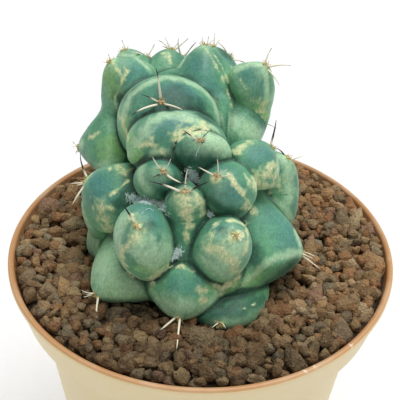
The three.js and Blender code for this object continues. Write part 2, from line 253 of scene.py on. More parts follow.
# The front head, from its crown down to the grit. A fold of flesh is a tubercle with no spines.
FRONT_HEAD = [
    tubercle((-12, -3, 101), (-11.5, -7, 105), (3.6, 2.6), 0, 2),
    tubercle((-5.5, -1, 101.5), (-3, -4, 110), (10.6, 7.6), -35, 2),
    tubercle((-1, -5, 103), (-1, -9, 109), (6.5, 4.2), 0, 2, 0, [
        (-3.2, -0.2, 2.3, 0.6), (1.8, -0.2, 2.3, 0.6), (1, -1.6, 0.4, 0.8)]),
    tubercle((-9, -6.5, 97.4), (-7.7, -12, 103.3), (5.2, 4.6), 0, 2, 0, [
        (-2.3, 0.1, 3.5, 0.1), (1.3, -0.1, 3.2, 0), (4.4, -3, -0.7, 0.3), (-2, -1.9, 0, 0.8)]),
    tubercle((5, -9, 97), (2.5, -13, 103.5), (5.9, 6.2), 30, 1.8, 0.4, [
        (-3.9, -0.2, 2.2, 0.2), (0, 0.7, 3.4, 0), (3.4, -1, 1.2, 0.1), (2, -0.6, 2, 0)]),
    tubercle((-3.5, -13, 95.5), (-3.5, -15, 101), (4.2, 3.9), 0, 1.9, 0.6, [
        (4.6, -0.4, 2.8, 0.8), (-6.8, -0.6, 2.5, 0.5), (0.4, 1.4, 4.3, 0)]),
    tubercle((-3.3, -13.8, 93.5), (-3.8, -18.8, 85.5), (4.4, 3.6), 0, 1.5, 0.6),
    tubercle((10, -2, 98.5), (14, -1, 102.5), (6.2, 6.6), 0, 1.7, 0.5, [(0.5, 3.4, 4.5, 0.8)]),
    tubercle((12.5, 5, 88.5), (18, 4, 96.5), (4.6, 7.4), 0, 1.8, 1, [(-3.2, 1, 2.1, 0.9), (3, 0.4, 0.5, 0)]),
    tubercle((15.5, 3, 84), (20, 1.5, 83.5), (5.5, 6.5), 0, 1.8, 1),
    tubercle((-17.5, -4, 90.5), (-24.5, -4, 95), (7.2, 8.6), 10, 1.6, 0.6, [
        (-1.1, 3.3, 4.4, 0.7), (-2.9, -0.9, -0.4, 0), (-2.5, -3.3, -4.4, 0.1), (-1.6, -1.2, -0.6, 0)]),
    tubercle((-21, -1, 83.5), (-24, -1, 81), (4.5, 6), 0, 1.8, 1),
    tubercle((-11, -15, 88), (-12.5, -21, 97), (6.4, 7.7), 20, 2, 0, [
        (-2.9, 1.4, 4.4, 0.7), (1.2, -1.4, 0.4, 0.2)]),
    tubercle((3.5, -16, 87.5), (6.5, -21, 95.5), (6.3, 6.7), -20, 1.9, 0, [
        (-1, -1.6, 1, 0.1), (1.2, -1.4, -0.6, 0.1), (1.4, -0.6, 1.4, 0.1)]),
    tubercle((-3, -18, 79.8), (-4, -25, 76.5), (8.5, 7.4), 0, 1.6, 0, [
        (-5, -3.8, -1.1, 0.4), (-0.2, -7.6, -1.1, 0.1)]),
    tubercle((-13.5, -10.5, 78), (-21.5, -19, 76.5), (10, 8.3), 0, 1.45, 0.6, [
        (-2.8, 0.3, 1.2, 0), (-2.4, -0.5, 0, 0), (-1.6, -0.8, 0.9, 0), (1.1, -6.6, -1.1, 0.3)]),
    tubercle((10, -7, 82), (21.5, -10, 82), (11.5, 10.5), -15, 1.5, 0.6, [
        (3.4, -3, -1.5, 0), (2.4, -0.7, -0.1, 0), (1.8, -1.8, 0.3, 0)]),
    tubercle((5.5, -12.5, 73.8), (4.3, -25.8, 76), (9.3, 4.8), 0, 2.1, 0, [
        (-1.6, -2.2, 1.4, 0), (1, -2.2, 1.4, 0)]),
    tubercle((-14, -9, 65.5), (-13, -13, 66.5), (9.5, 4.2), 0, 2),
    tubercle((-18.5, 0.5, 75), (-25.3, -1, 74), (6.5, 8), 0, 1.7, 1),
]

# The taller back head, from its left side round the crown to its right side
BACK_HEAD = [
    tubercle((-19.5, 12, 93.5), (-28, 12, 92), (9, 7.6), 0, 1.5, 1, [
        (-1.5, 0, 0.3, 0), (-0.6, -1.2, -0.8, 0), (-1.4, 2, 0.4, 0.3)]),
    tubercle((-16.5, 16, 106.5), (-20.5, 15, 112.5), (5.7, 6.3), 0, 1.6, 0.7, [
        (-1.7, 0, -0.2, 0), (-0.4, 0.5, 1.3, 0.2), (0.8, 0.2, 1.1, 0)]),
    tubercle((-19.5, 15, 103.5), (-19, 13, 98), (2.6, 4), 0, 1.8, 1),
    tubercle((-16, 25, 103.5), (-18.5, 26, 109.5), (5.2, 5.4), 0, 1.7, 0.4, [
        (-0.6, 1, 1.8, 0.2), (-1.1, -0.2, 0.4, 0), (0.9, 0, 1, 0)]),
    tubercle((-9, 25, 103.5), (-8, 27, 109.5), (5.6, 6.3), 0, 1.7, 0.4, [
        (-2.9, 0.9, 1.5, 0.25), (-1.5, 1, 2.2, 0.1), (3.7, 1, 2.2, 0.2), (1.6, 0.4, 1.5, 0),
        (-0.4, -0.6, 1.4, 0)]),
    tubercle((-7.5, 8.5, 101), (-9, 0.5, 111.5), (11.2, 10.2), 0, 2, 0, [
        (-1, 1.4, 6.9, 0.35), (-5.5, -4.2, -0.7, 0.3), (-3.8, 0, 1.6, 0.5), (4.7, -3.5, 0.4, 0.1)]),
    tubercle((-0.5, 17.5, 105), (-0.5, 20, 114.5), (7.6, 8), 0, 1.5, 0.5, [
        (-0.7, 0.6, 1.6, 0), (0.7, 0.6, 1.6, 0.2), (1.8, 0.3, 1, 0), (-1.4, -0.6, 0.6, 0)]),
    tubercle((2, 26, 103), (1, 28, 110), (6, 6.5), 0, 1.6, 0.5, [(0.6, 1.4, 2.4, 0.1), (1.8, 0.6, 1.4, 0)]),
    tubercle((9.5, 15, 108), (12.5, 14.5, 113), (4, 4.8), 0, 1.6, 1, [
        (5.2, 0, 0, 0.1), (1.1, 2.2, 2.9, 0.25), (2.9, -2.6, -3.3, 0)]),
    tubercle((10.5, 14.5, 104.5), (11.8, 13.5, 99), (2.6, 3.4), 0, 1.8, 1),
    tubercle((7.5, 13, 98), (12.5, 12.5, 98.5), (8, 6.5), 0, 1.8, 1),
]

# The back head's far side: rings of even tubercles round its axis. A ring has its first bearing
# and the step to the next in degrees from +X towards +Y, the heights of the middles and the tips,
# and their distances from the axis.
BACK_AXIS = Vector((-4, 15, 0))
Ring = namedtuple("Ring", "first step count middle_height tip_height middle_out tip_out half")
BACK_RINGS = [
    Ring(8, 38, 5, 79, 78, 11, 19, (8.5, 8)),
    Ring(28, 40, 4, 91, 94, 11, 18.5, (7.5, 7.5)),
    Ring(58, 38, 3, 101, 106, 9.5, 15, (6.5, 6.5)),
]
RING_ROUNDNESS = 1.7
RING_SOFTNESS = 0.8

# The flesh under the tubercles: middle and half axes of each head, and the root's profile
HEAD_CORES = [((-1, -3, 80), (19, 19, 16)), ((-4, 15, 88), (17, 15, 22))]
CORE_SOFTNESS = 0.4
ROOT_AXIS = (-2.5, 5)
ROOT_PROFILE = [(0, 34), (1.8, 36), (4.5, 46), (7.5, 56), (14, 63), (17, 69), (12, 76), (0, 78)]
ROOT_SIDES = 40
ROOT_DEPTH_SCALE = 1.35

# Marks by rule on the far tubercles: kind, count, spread round the areole, width and reach
FAR_MARKS = [
    ("cork", 2, 3.2, (0.8, 1.8), (1.5, 5)),
    ("bloom_and_light", 2, 5, (1.5, 3), (4, 9)),
    ("deep_and_shade", 1, 5, (1.5, 3), (2, 6)),
    ("teal", 1, 4, (3, 4.5), (2, 5)),
]

# The skin is yellower near the ground, and lighter there as painted fill light from below: with the
# whole share below the first height, and with none above the second
LOW_SKIN_AND_FILL = "84D088"
LOW_SKIN_AND_FILL_SHARE = 0.7
LOW_SKIN_AND_FILL_HEIGHTS = (74, 91)

# The skin's layers: attribute, colour, greatest share, grain size, fraying, and the values at which
# the layer starts and is full
SKIN_LAYERS = [
    ("towards_tip", "3A7066", 0.55, 4, 0.25, 0.4, 1),
    ("teal", "427E82", 0.5, 4, 0.15, 0, 1),
    ("lime", "94C474", 0.65, 4, 0.15, 0, 1),
    # Dark teal flesh, and painted shade under overhangs and on the lowest tubercles in shadow
    ("deep_and_shade", "184E3E", 0.85, 3, 0.15, 0, 1),
    # Painted light on the crests
    ("lit_ridge", "AAD2A6", 0.55, 2, 0.3, 0, 1),
    # Pale wax bloom, and painted light on the lit rims of the domes and on faces lit from the front and
    # below
    ("bloom_and_light", "B8DCB2", 0.75, 3, 0.25, 0, 1),
    # Painted shade in the hollows and furrows
    ("hollow_shade", "12382A", 0.8, 2, 0.15, 0, 1),
    ("furrow_shade", "1A4838", 0.65, 2.5, 0.15, 0.3, 1),
    ("furrow_shade", "081A12", 0.75, 2, 0.15, 0.75, 1.05),
    ("wool", "B0CEC6", 0.7, 1, 0.35, 0.2, 1),
    ("cork", "C2D69E", 0.75, 2.5, 0.4, 0.05, 0.9),
    ("cork", "EAE0B6", 0.85, 0.35, 1.2, 0.45, 1.5),
]

# The skin's broad shape is the skin smoothed by a factor for some rounds. Painted shade in furrows
# and hollows starts and is full where the skin lies so far below it, and painted light on ridges
# where it lies so far above it.
BROAD_FACTOR = 0.5
BROAD_ROUNDS = 80
FURROWS = (-0.3, 0.1)
HOLLOWS = (-0.05, 0.6)
RIDGES = (0.35, 0.75)

# The painted shade of a furrow lies where two tubercles are this near, in millimetres. Between soft
# ones it loses this share of its strength.
FURROW_REACH = 3.5
FURROW_LOSS = 0.8

# For each kind of mark, how much wider it is than its strokes, and how ragged its edge is
MARK_EDGES = {
    "cork": (1.35, 0.6),
    "lime": (1.5, 0.25),
    "bloom_and_light": (1.4, 0.25),
    "deep_and_shade": (1.3, 0.25),
    "teal": (1.5, 0.25),
}

# Heights between which the pot's colour runs from wall to lip, through a painted highlight to the
# lip's warmer tan, painted for the light through its thin plastic
LIP_SHADES = (74.05, 75.15)

# Studio: the paper's radius in millimetres, strengths of light, and the sun's angles in degrees
FLOOR_RADIUS = 420
FLOOR_SIDES = 96
FLOOR_GLOW = 0.25
WORLD_LIGHT = 0.38
BACKDROP = 0.97
SUN_STRENGTH = 3.0
SUN_SPREAD = 55
SUN_LEAN = (-8, 12)

# The pot's outer wall as radii and heights, from its floor to its top
STEP_TOP = POT_HEIGHT - COLLAR_DEPTH
STEP_FOOT = STEP_TOP - STEP_DEPTH
WALL_CORNERS = [
    (BASE_RADIUS + BODY_TAPER * FLOOR_TOP, FLOOR_TOP),
    (BASE_RADIUS + BODY_TAPER * STEP_FOOT, STEP_FOOT),
    (COLLAR_FOOT_RADIUS, STEP_TOP),
    (RIM_RADIUS - LIP_OVERHANG, POT_HEIGHT - LIP_DEPTH),
    (RIM_RADIUS - LIP_OVERHANG, POT_HEIGHT),
]

# Marks on the skin: for each kind, strokes of a width in millimetres that the camera sees along a
# path of the photograph's pixels
MARKS = {
    "cork": [
        (1.9, [(178, 136), (184, 131), (190, 128), (198, 126), (207, 129)]),
        (1.5, [(187, 133), (194, 134), (203, 131)]),
        (1.0, [(176, 141), (182, 137)]),
        (1.1, [(141, 145), (149, 143), (157, 146), (161, 151)]),
        (1.5, [(234, 152), (243, 146), (250, 142)]),
        (2.3, [(252, 183), (262, 185), (276, 186)]),
        (2.1, [(258, 176), (268, 174), (276, 176)]),
        (1.2, [(266, 168), (276, 166)]),
        (1.0, [(229, 176), (238, 187), (246, 199), (254, 211)]),
        (1.3, [(246, 204), (252, 212)]),
        (1.2, [(212, 178), (218, 177)]),
        (1.7, [(178, 196), (186, 199), (196, 198)]),
        (1.7, [(180, 205), (190, 208)]),
        (1.6, [(184, 214), (190, 218), (188, 224)]),
        (1.1, [(186, 229), (187, 238)]),
        (1.6, [(201, 202), (204, 211)]),
        (1.5, [(114, 167), (121, 167), (125, 171)]),
        (0.5, [(128, 181), (123, 185), (117, 190), (111, 195)]),
        (2.6, [(101, 208), (104, 216), (108, 226), (110, 232)]),
        (1.4, [(106, 207), (110, 209)]),
        (1.8, [(131, 217), (135, 222), (137, 229), (134, 238)]),
        (1.3, [(133, 240), (127, 247), (121, 250)]),
        (1.3, [(121, 252), (124, 266), (132, 275), (140, 279)]),
        (0.9, [(212, 228), (220, 222), (232, 220), (243, 224)]),
        (1.1, [(212, 234), (209, 247)]),
        (1.7, [(210, 247), (220, 252), (230, 258), (237, 267)]),
        (1.6, [(237, 267), (238, 276), (230, 284), (222, 290)]),
        (1.5, [(231, 238), (238, 236), (242, 233)]),
        (1.0, [(245, 221), (247, 228), (248, 240), (245, 252)]),
        (1.7, [(152, 286), (155, 277), (162, 271), (170, 267)]),
        (0.6, [(177, 267), (182, 265), (186, 268), (192, 272)]),
        (1.0, [(199, 291), (207, 290)]),
        (1.2, [(201, 300), (206, 299)]),
        (1.2, [(216, 284), (222, 288)]),
        (0.45, [(112, 62), (118, 70), (122, 78), (121, 86), (115, 97), (117, 108), (120, 122)]),
        (0.6, [(123, 66), (127, 71), (124, 78)]),
        (0.5, [(170, 49), (178, 50), (186, 52)]),
        (0.5, [(204, 47), (210, 55), (219, 72), (227, 88), (232, 108)]),
        (0.35, [(212, 52), (222, 66), (229, 84)]),
        (0.4, [(240, 79), (243, 85), (247, 90)]),
        (1.5, [(253, 105), (259, 103), (265, 103)]),
        (1.4, [(259, 112), (264, 112), (262, 118)]),
        (1.3, [(122, 117), (124, 126), (128, 138)]),
        (1.0, [(90, 138), (97, 134)]),
        (0.3, [(243, 309), (245, 308)]),
        (0.25, [(252, 305), (255, 304)]),
    ],
    "lime": [
        (5, [(112, 148), (124, 152), (132, 156)]),
        (3, [(110, 290), (130, 297), (150, 297)]),
        (2.5, [(256, 276), (240, 286), (228, 290)]),
        (3, [(124, 126), (129, 142)]),
        (2.5, [(170, 48), (184, 50)]),
        (2, [(256, 106), (266, 116)]),
        (3, [(104, 66), (118, 98)]),
        (3, [(146, 268), (160, 272), (172, 262)]),
        (2.5, [(216, 284), (232, 282)]),
    ],
    # Partly pale wax bloom and partly painted light: the lit rims of the domes and faces lit from the front
    # and below
    "bloom_and_light": [
        (2.0, [(122, 118), (130, 96), (146, 83), (164, 77), (182, 79), (200, 87), (213, 99), (219, 118)]),
        (2.2, [(136, 146), (150, 122), (164, 114), (180, 114), (200, 123), (216, 132), (226, 144)]),
        (3.2, [(206, 138), (218, 142), (226, 150)]),
        (2.0, [(141, 168), (140, 180), (147, 190)]),
        (3.2, [(121, 222), (116, 238), (118, 254)]),
        (4.5, [(142, 250), (158, 262), (166, 254)]),
        (3.0, [(208, 262), (220, 272), (230, 276)]),
        (1.6, [(154, 294), (166, 311), (184, 320), (204, 309), (219, 292)]),
        (1.1, [(272, 200), (284, 206), (292, 220), (300, 245)]),
        (1.4, [(300, 252), (276, 258), (260, 269), (244, 283)]),
        (1.8, [(98, 240), (93, 262), (91, 284)]),
        (1.0, [(236, 70), (250, 63), (264, 65), (267, 80), (267, 100)]),
        (0.9, [(180, 66), (190, 49), (202, 46)]),
        (1.0, [(108, 64), (118, 55), (134, 56), (150, 70)]),
        (0.8, [(277, 156), (279, 186)]),
        (1.2, [(84, 182), (92, 172), (106, 163)]),
        (3.0, [(232, 124), (250, 130), (262, 140)]),
        (2.2, [(285, 156), (289, 175), (289, 198)]),
        (6.0, [(102, 258), (116, 282), (140, 288)]),
        (4.5, [(86, 222), (92, 246)]),
        (4.5, [(214, 252), (226, 264), (238, 250)]),
        (3.0, [(168, 304), (190, 308)]),
        (1.2, [(152, 154), (161, 151), (171, 155)]),
    ],
    # Partly dark teal flesh and partly painted shade, under overhangs and on the lowest tubercles in shadow
    "deep_and_shade": [
        (4.5, [(170, 97), (184, 99), (198, 109), (208, 120)]),
        (3.6, [(180, 160), (198, 163), (214, 160)]),
        (2.6, [(172, 184), (176, 190), (162, 193)]),
        (2.8, [(131, 178), (127, 198), (117, 206)]),
        (1.2, [(221, 229), (230, 232)]),
        (1.8, [(144, 227), (150, 224)]),
        (4.0, [(292, 266), (274, 280)]),
        (3.0, [(120, 98), (134, 92)]),
        (2.0, [(205, 196), (220, 208), (238, 214)]),
        (3.5, [(112, 304), (130, 308), (150, 314)]),
        (5.0, [(196, 330), (215, 322), (240, 316), (262, 300)]),
        (3.5, [(225, 300), (245, 296)]),
        (2.5, [(256, 250), (257, 262)]),
        (5.0, [(218, 314), (238, 308), (256, 300)]),
    ],
    "teal": [
        (4.5, [(132, 78), (140, 72)]),
        (4.5, [(195, 64), (202, 78), (212, 92)]),
        (4.0, [(248, 76), (256, 84)]),
        (4.0, [(150, 128), (168, 120), (186, 122)]),
        (4.0, [(96, 182), (104, 194)]),
        (4.0, [(176, 284), (194, 286)]),
        (3.0, [(256, 156), (266, 152)]),
        (2.5, [(217, 229), (232, 229)]),
        (4.0, [(224, 186), (236, 196)]),
        (3.5, [(140, 206), (152, 216)]),
        (6.0, [(280, 222), (288, 236)]),
        (4.0, [(176, 92), (188, 92)]),
    ],
}

# Wool in the furrows between the tubercles: the width of each tuft in millimetres, and the path of
# pixels along which the camera sees it
WOOL = [
    (0.5, [(189, 170), (193, 175), (197, 181)]),
    (0.45, [(130, 197), (137, 200), (147, 204)]),
    (0.5, [(148, 202), (158, 204), (165, 209)]),
    (0.4, [(208, 213), (212, 216)]),
    (0.2, [(181, 250), (177, 253), (172, 258)]),
]

# Fallen wool threads that lie over the skin, as paths of pixels
THREADS = [
    [(141, 214), (148, 209), (156, 211), (163, 206)],
    [(166, 212), (171, 219)],
    [(200, 146), (196, 155), (195, 168)],
    [(112, 246), (118, 249), (124, 244)],
]

# Pale scuffs on the lip of the pot, in millimetres from its axis
SCUFFS = [(20.6, -36.6), (22.8, -35.2), (30.4, -29.2)]

# The camera and what it sees

def camera_axes():
    """Where the camera stands, in millimetres, and its right, up and forward directions."""
    tilt, roll = radians(CAMERA_ELEVATION), radians(CAMERA_ROLL)
    forward = Vector((0, cos(tilt), -sin(tilt)))
    level = Vector((1, 0, 0))
    upright = level.cross(forward)
    right = level * cos(roll) + upright * sin(roll)
    up = upright * cos(roll) - level * sin(roll)
    return CAMERA_TARGET - forward * CAMERA_DISTANCE, right, up, forward


def sight(across, down):
    """The direction in which the camera sees a pixel of the photograph."""
    _, right, up, forward = camera_axes()
    rightwards = (across - PHOTO_PIXELS / 2) / FOCAL_PIXELS
    downwards = (down - PHOTO_PIXELS / 2) / FOCAL_PIXELS
    return (forward + right * rightwards - up * downwards).normalized()


def add_camera():
    place, right, up, forward = camera_axes()
    made = in_scene("camera", bpy.data.cameras.new("camera"))
    turn = Matrix([[right[k], up[k], -forward[k]] for k in range(3)]).to_4x4()
    made.matrix_world = Matrix.Translation(place * MM) @ turn
    made.data.sensor_width = SENSOR_WIDTH
    made.data.lens = FOCAL_PIXELS * SENSOR_WIDTH / PHOTO_PIXELS
    made.data.clip_start = 0.01
    bpy.context.scene.camera = made


# Small helpers

def linear(code):
    """An sRGB hex colour as the linear red, green, blue and alpha that Blender works in."""
    parts = [int(code[start:start + 2], 16) / 255 for start in (0, 2, 4)]
    return (*[part / 12.92 if part <= 0.04045 else ((part + 0.055) / 1.055) ** 2.4 for part in parts], 1)


def per(size):
    """A texture's scale for features of this size in millimetres."""
    return 1 / (size * MM)


def add(tree, kind, inputs=None, stops=(), **settings):
    """A node with its settings, its ramp stops, and a value or a link for each named input."""
    made = tree.nodes.new(kind)
    for name, value in settings.items():
        setattr(made, name, value)
    for name, value in (inputs or {}).items():
        if isinstance(value, bpy.types.NodeSocket):
            tree.links.new(value, made.inputs[name])
        else:
            made.inputs[name].default_value = value
    for index, (place, colour) in enumerate(stops):
        ends = made.color_ramp.elements
        stop = ends[index] if index < 2 else ends.new(place)
        stop.position = place
        stop.color = colour
    return made


def material(name):
    """An empty material, and its node tree."""
    made = bpy.data.materials.new(name)
    made.use_nodes = True
    made.node_tree.nodes.clear()
    return made, made.node_tree


def scatter(draw, spread):
    """A random step, spread alike in all directions."""
    return Vector([draw.gauss(0, spread) for _ in range(3)])


def two_noises(point, broad, fine, fine_share):
    """Noise of two sizes in millimetres at a point, with the share that the fine one has."""
    return noise.noise(point / broad) + fine_share * noise.noise(point / fine)


def rising(values, low, high):
    """From 0 at the low value to 1 at the high one."""
    return np.clip((values - low) / (high - low), 0, 1)


def fading(distance, near, far):
    """From 1 within the near distance to 0 beyond the far one."""
    return max(0, min(1, (far - distance) / (far - near)))


def radius_at(profile, height):
    """The radius at a height of a profile of (radius, height) pairs."""
    for (start, low), (end, high) in zip(profile, profile[1:]):
        if low <= height <= high:
            return start + (end - start) * (height - low) / (high - low)


def in_scene(name, data):
    """A new object in the scene."""
    made = bpy.data.objects.new(name, data)
    bpy.context.collection.objects.link(made)
    return made


def as_mesh(bm):
    mesh = bpy.data.meshes.new("shape")
    bm.to_mesh(mesh)
    bm.free()
    return mesh


def finished(mesh, name, look, slot, *nodes):
    """The mesh, in millimetres, as a named piece that rides on the root body and stands for CAD nodes."""
    mesh.transform(Matrix.Scale(MM, 4))
    mesh.shade_smooth()
    mesh.materials.append(look)
    piece = in_scene(name, mesh)
    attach(piece, "root")
    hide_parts(*nodes)


def marked(mesh, fields):
    """Gives each of the mesh's points its values for the material."""
    for name, values in fields.items():
        mesh.attributes.new(name, "FLOAT", "POINT").data.foreach_set("value", np.ravel(values))
    return mesh


class Heap:
    """Many copies of small shapes, gathered into one mesh with values at its points."""

    def __init__(self):
        self.points, self.faces, self.values, self.size = [], [], {}, 0

    def put(self, faces, points, **values):
        self.points.append(points)
        self.faces.append(faces + self.size)
        for name, value in values.items():
            self.values.setdefault(name, []).append(np.full(len(points), value))
        self.size += len(points)

    def mesh(self):
        made = bpy.data.meshes.new("heap")
        made.from_pydata(np.concatenate(self.points), [], np.concatenate(self.faces))
        return marked(made, {name: np.concatenate(parts) for name, parts in self.values.items()})


def pattern(bm):
    """The triangles and the points of a small shape."""
    bmesh.ops.triangulate(bm, faces=bm.faces)
    faces = np.array([[vert.index for vert in face.verts] for face in bm.faces])
    points = np.array([vert.co for vert in bm.verts])
    bm.free()
    return faces, points


def ball(subdivisions):
    bm = bmesh.new()
    bmesh.ops.create_icosphere(bm, subdivisions=subdivisions, radius=1)
    return pattern(bm)


def rod(sides):
    """A closed rod of radius 1 from height 0 to 1, cut into rings."""
    bm = bmesh.new()
    middle = Matrix.Translation((0, 0, 0.5))
    bmesh.ops.create_cone(
        bm, cap_ends=True, segments=sides, radius1=1, radius2=1, depth=1, matrix=middle,
    )
    lengthwise = [edge for edge in bm.edges if edge.verts[0].co.z != edge.verts[1].co.z]
    bmesh.ops.subdivide_edges(bm, edges=lengthwise, cuts=SPINE_CUTS)
    bm.verts.index_update()
    return pattern(bm)


# Flesh

def axes_of(form):
    """A tubercle's width and height directions, its axis and its reach from middle to tip."""
    axis = form.tip - form.middle
    reach = axis.length
    axis.normalize()
    level = axis.cross(Vector((0, 0, 1))).normalized()
    upright = level.cross(axis)
    turn = Quaternion(axis, radians(form.turn))
    return turn @ level, turn @ upright, axis, reach


def ring_tubercles(ring):
    forms = []
    for index in range(ring.count):
        bearing = radians(ring.first + ring.step * index)
        out = Vector((cos(bearing), sin(bearing), 0))
        middle = BACK_AXIS + out * ring.middle_out + Vector((0, 0, ring.middle_height))
        tip = BACK_AXIS + out * ring.tip_out + Vector((0, 0, ring.tip_height))
        forms.append(tubercle(middle, tip, ring.half, 0, RING_ROUNDNESS, RING_SOFTNESS))
    return forms


def core(middle, half):
    """The flesh inside a head, as a tubercle that points up. It leans by a hair, because its width
    direction is found from its lean."""
    tip = Vector(middle) + Vector((0, 0.001, half[2]))
    return tubercle(middle, tip, (half[0], half[1]), 0, 2, CORE_SOFTNESS)


def tubercle_flesh(bm, form):
    level, upright, axis, reach = axes_of(form)
    made = bmesh.ops.create_icosphere(bm, subdivisions=TUBERCLE_CUTS, radius=1)["verts"]
    for vert in made:
        x, y, z = vert.co
        spread = (abs(x) ** form.round + abs(y) ** form.round + abs(z) ** form.round) ** (1 / form.round)
        length = reach if z > 0 else TUBERCLE_BACK * reach
        step = level * form.half[0] * x + upright * form.half[1] * y + axis * length * z
        vert.co = form.middle + step / spread


def turned(bm, profile, sides):
    """A profile of (radius, height) pairs spun round the vertical axis into a closed shell."""
    verts = [bm.verts.new((radius, 0, height)) for radius, height in profile]
    edges = [bm.edges.new(pair) for pair in zip(verts, verts[1:])]
    bmesh.ops.spin(
        bm, geom=verts + edges, cent=(0, 0, 0), axis=(0, 0, 1), angle=2 * pi, steps=sides, use_merge=True,
    )
    bmesh.ops.remove_doubles(bm, verts=bm.verts, dist=MERGING)
    bmesh.ops.recalc_face_normals(bm, faces=bm.faces)


def root_flesh(bm):
    root = bmesh.new()
    turned(root, ROOT_PROFILE, ROOT_SIDES)
    bmesh.ops.scale(root, vec=(1, ROOT_DEPTH_SCALE, 1), verts=root.verts)
    bmesh.ops.translate(root, vec=(*ROOT_AXIS, 0), verts=root.verts)
    bm.from_mesh(as_mesh(root))


def reshaped(bm, kind, **settings):
    """The bmesh after one modifier, as a new bmesh."""
    holder = in_scene("tool", as_mesh(bm))
    modifier = holder.modifiers.new(kind, kind)
    for name, value in settings.items():
        setattr(modifier, name, value)
    whole = bmesh.new()
    whole.from_object(holder, bpy.context.evaluated_depsgraph_get())
    bpy.data.objects.remove(holder)
    return whole


def smoothed(bm, factor, rounds):
    for _ in range(rounds):
        bmesh.ops.smooth_vert(
            bm, verts=bm.verts, factor=factor, use_axis_x=True, use_axis_y=True, use_axis_z=True,
        )


def reach_of_forms(forms, points):
    """For each form, each point's signed distance outwards from its surface, in millimetres, and
    its place along the form's axis: 0 at the middle and 1 at the tip."""
    distances, places = [], []
    for form in forms:
        level, upright, axis, reach = axes_of(form)
        offset = points - np.array(form.middle)
        along = offset @ np.array(axis) / reach
        stretch = np.where(along > 0, 1, 1 / TUBERCLE_BACK)
        across = offset @ np.array(level) / form.half[0]
        rise = offset @ np.array(upright) / form.half[1]
        powers = [np.abs(part) ** form.round for part in (across, rise, along * stretch)]
        size = sum(powers) ** (1 / form.round)
        distances.append(np.linalg.norm(offset, axis=1) * (1 - 1 / np.maximum(size, 1e-6)))
        places.append(along)
    return np.array(distances), np.array(places)


def join_width(forms, distances):
    """How far the nearest tubercles run into each other at each point, in millimetres."""
    softness = np.array([form.soft for form in forms])[:, None]
    weights = np.exp(-(distances - distances.min(axis=0)) / JOIN_FADE)
    mean = (weights * softness).sum(axis=0) / weights.sum(axis=0)
    return CRISP_JOIN + (SOFT_JOIN - CRISP_JOIN) * mean ** JOIN_POWER


def settled(bm, forms, rounds):
    """Moves the skin's points along their normals onto the tubercles' joined surface."""
    for _ in range(rounds):
        bm.normal_update()
        points = np.array([vert.co for vert in bm.verts])
        normals = np.array([vert.normal for vert in bm.verts])
        distances, _ = reach_of_forms(forms, points)
        width = join_width(forms, distances)
        nearest = distances.min(axis=0)
        joined = nearest - width * np.log(np.exp(-(distances - nearest) / width).sum(axis=0))
        above_root = rising(points[:, 2], SETTLING_FOOT, SETTLING_FOOT + SETTLING_FADE)
        step = SETTLING_SHARE * joined * above_root * (np.abs(joined) < SETTLING_REACH)
        points -= normals * step[:, None]
        for vert, point in zip(bm.verts, points):
            vert.co = point


def flesh(forms):
    """Both heads and the root as one skin."""
    whole = forms + [core(middle, half) for middle, half in HEAD_CORES]
    bm = bmesh.new()
    for form in whole:
        tubercle_flesh(bm, form)
    root_flesh(bm)
    bm = reshaped(bm, "REMESH", mode="VOXEL", voxel_size=VOXEL)
    for factor, smoothings, settlings in SKIN_ROUNDS:
        smoothed(bm, factor, smoothings)
        settled(bm, whole, settlings)
    bm.normal_update()
    for vert in bm.verts:
        vert.co += vert.normal * (WAX_SWELL * two_noises(vert.co, *SWELL_GRAIN))
    return bm


# Marks

def seen_on(surface, path):
    """The close points of the skin that the camera sees along a path of pixels."""
    eye = camera_axes()[0]
    points = []
    for start, end in zip(path, path[1:]):
        steps = max(2, round(SIGHTS_PER_PIXEL * hypot(end[0] - start[0], end[1] - start[1])))
        for step in range(steps + 1):
            place = [first + (last - first) * step / steps for first, last in zip(start, end)]
            hit = surface.ray_cast(eye, sight(*place))[0]
            if hit is not None:
                points.append(hit)
    return points


def wandering(surface, start, reach, draw):
    """Points of the skin along a crooked path from a start."""
    points = [start]
    heading = scatter(draw, 1).normalized()
    for _ in range(round(reach / WANDER_STEP)):
        heading = (heading + scatter(draw, WANDER_TURN)).normalized()
        points.append(surface.find_nearest(points[-1] + heading * WANDER_STEP)[0])
    return points


def far_marks(forms, surface, draw):
    """Marks by rule on the tubercles of the far side, as the camera doesn't see them."""
    marks = {kind: [] for kind in MARKS}
    for form in forms:
        areole = surface.find_nearest(form.tip)[0]
        for kind, count, spread, width, reach in FAR_MARKS:
            for _ in range(count):
                start = surface.find_nearest(areole + scatter(draw, spread))[0]
                path = wandering(surface, start, draw.uniform(*reach), draw)
                marks[kind].append((draw.uniform(*width), path))
    return marks


def below_broad_shape(bm):
    """How far each point of the skin lies below the skin's broad shape, in millimetres: above 0 in
    the creases and below 0 on the crests."""
    broad = bm.copy()
    smoothed(broad, BROAD_FACTOR, BROAD_ROUNDS)
    below = [vert.normal.dot(even.co - vert.co) for vert, even in zip(bm.verts, broad.verts)]
    broad.free()
    return np.array(below)


def painted(points, owners, strokes, raggedness, forms):
    """How strongly each point of the skin takes a mark, from 0 to 1: strokes stay on their tubercle."""
    strength = np.zeros(len(points))
    for width, path in strokes:
        if not path:
            continue
        seen = np.array(path)
        seen_owners = reach_of_forms(forms, seen)[0].argmin(axis=0)
        inside = (points > seen.min(axis=0) - width) & (points < seen.max(axis=0) + width)
        near = np.nonzero(inside.all(axis=1))[0]
        if not len(near):
            continue
        gaps = np.linalg.norm(points[near][:, None] - seen[None], axis=2)
        own = owners[near] == seen_owners[gaps.argmin(axis=1)]
        edge = np.array([
            EDGE_PLACE + raggedness * (two_noises(Vector(point), *EDGE_GRAIN) - EDGE_INSET)
            for point in points[near]
        ])
        falling = np.clip(EDGE_STEEPNESS * (edge - gaps.min(axis=1) / width), 0, 1)
        strength[near] = np.maximum(strength[near], falling * own)
    return strength


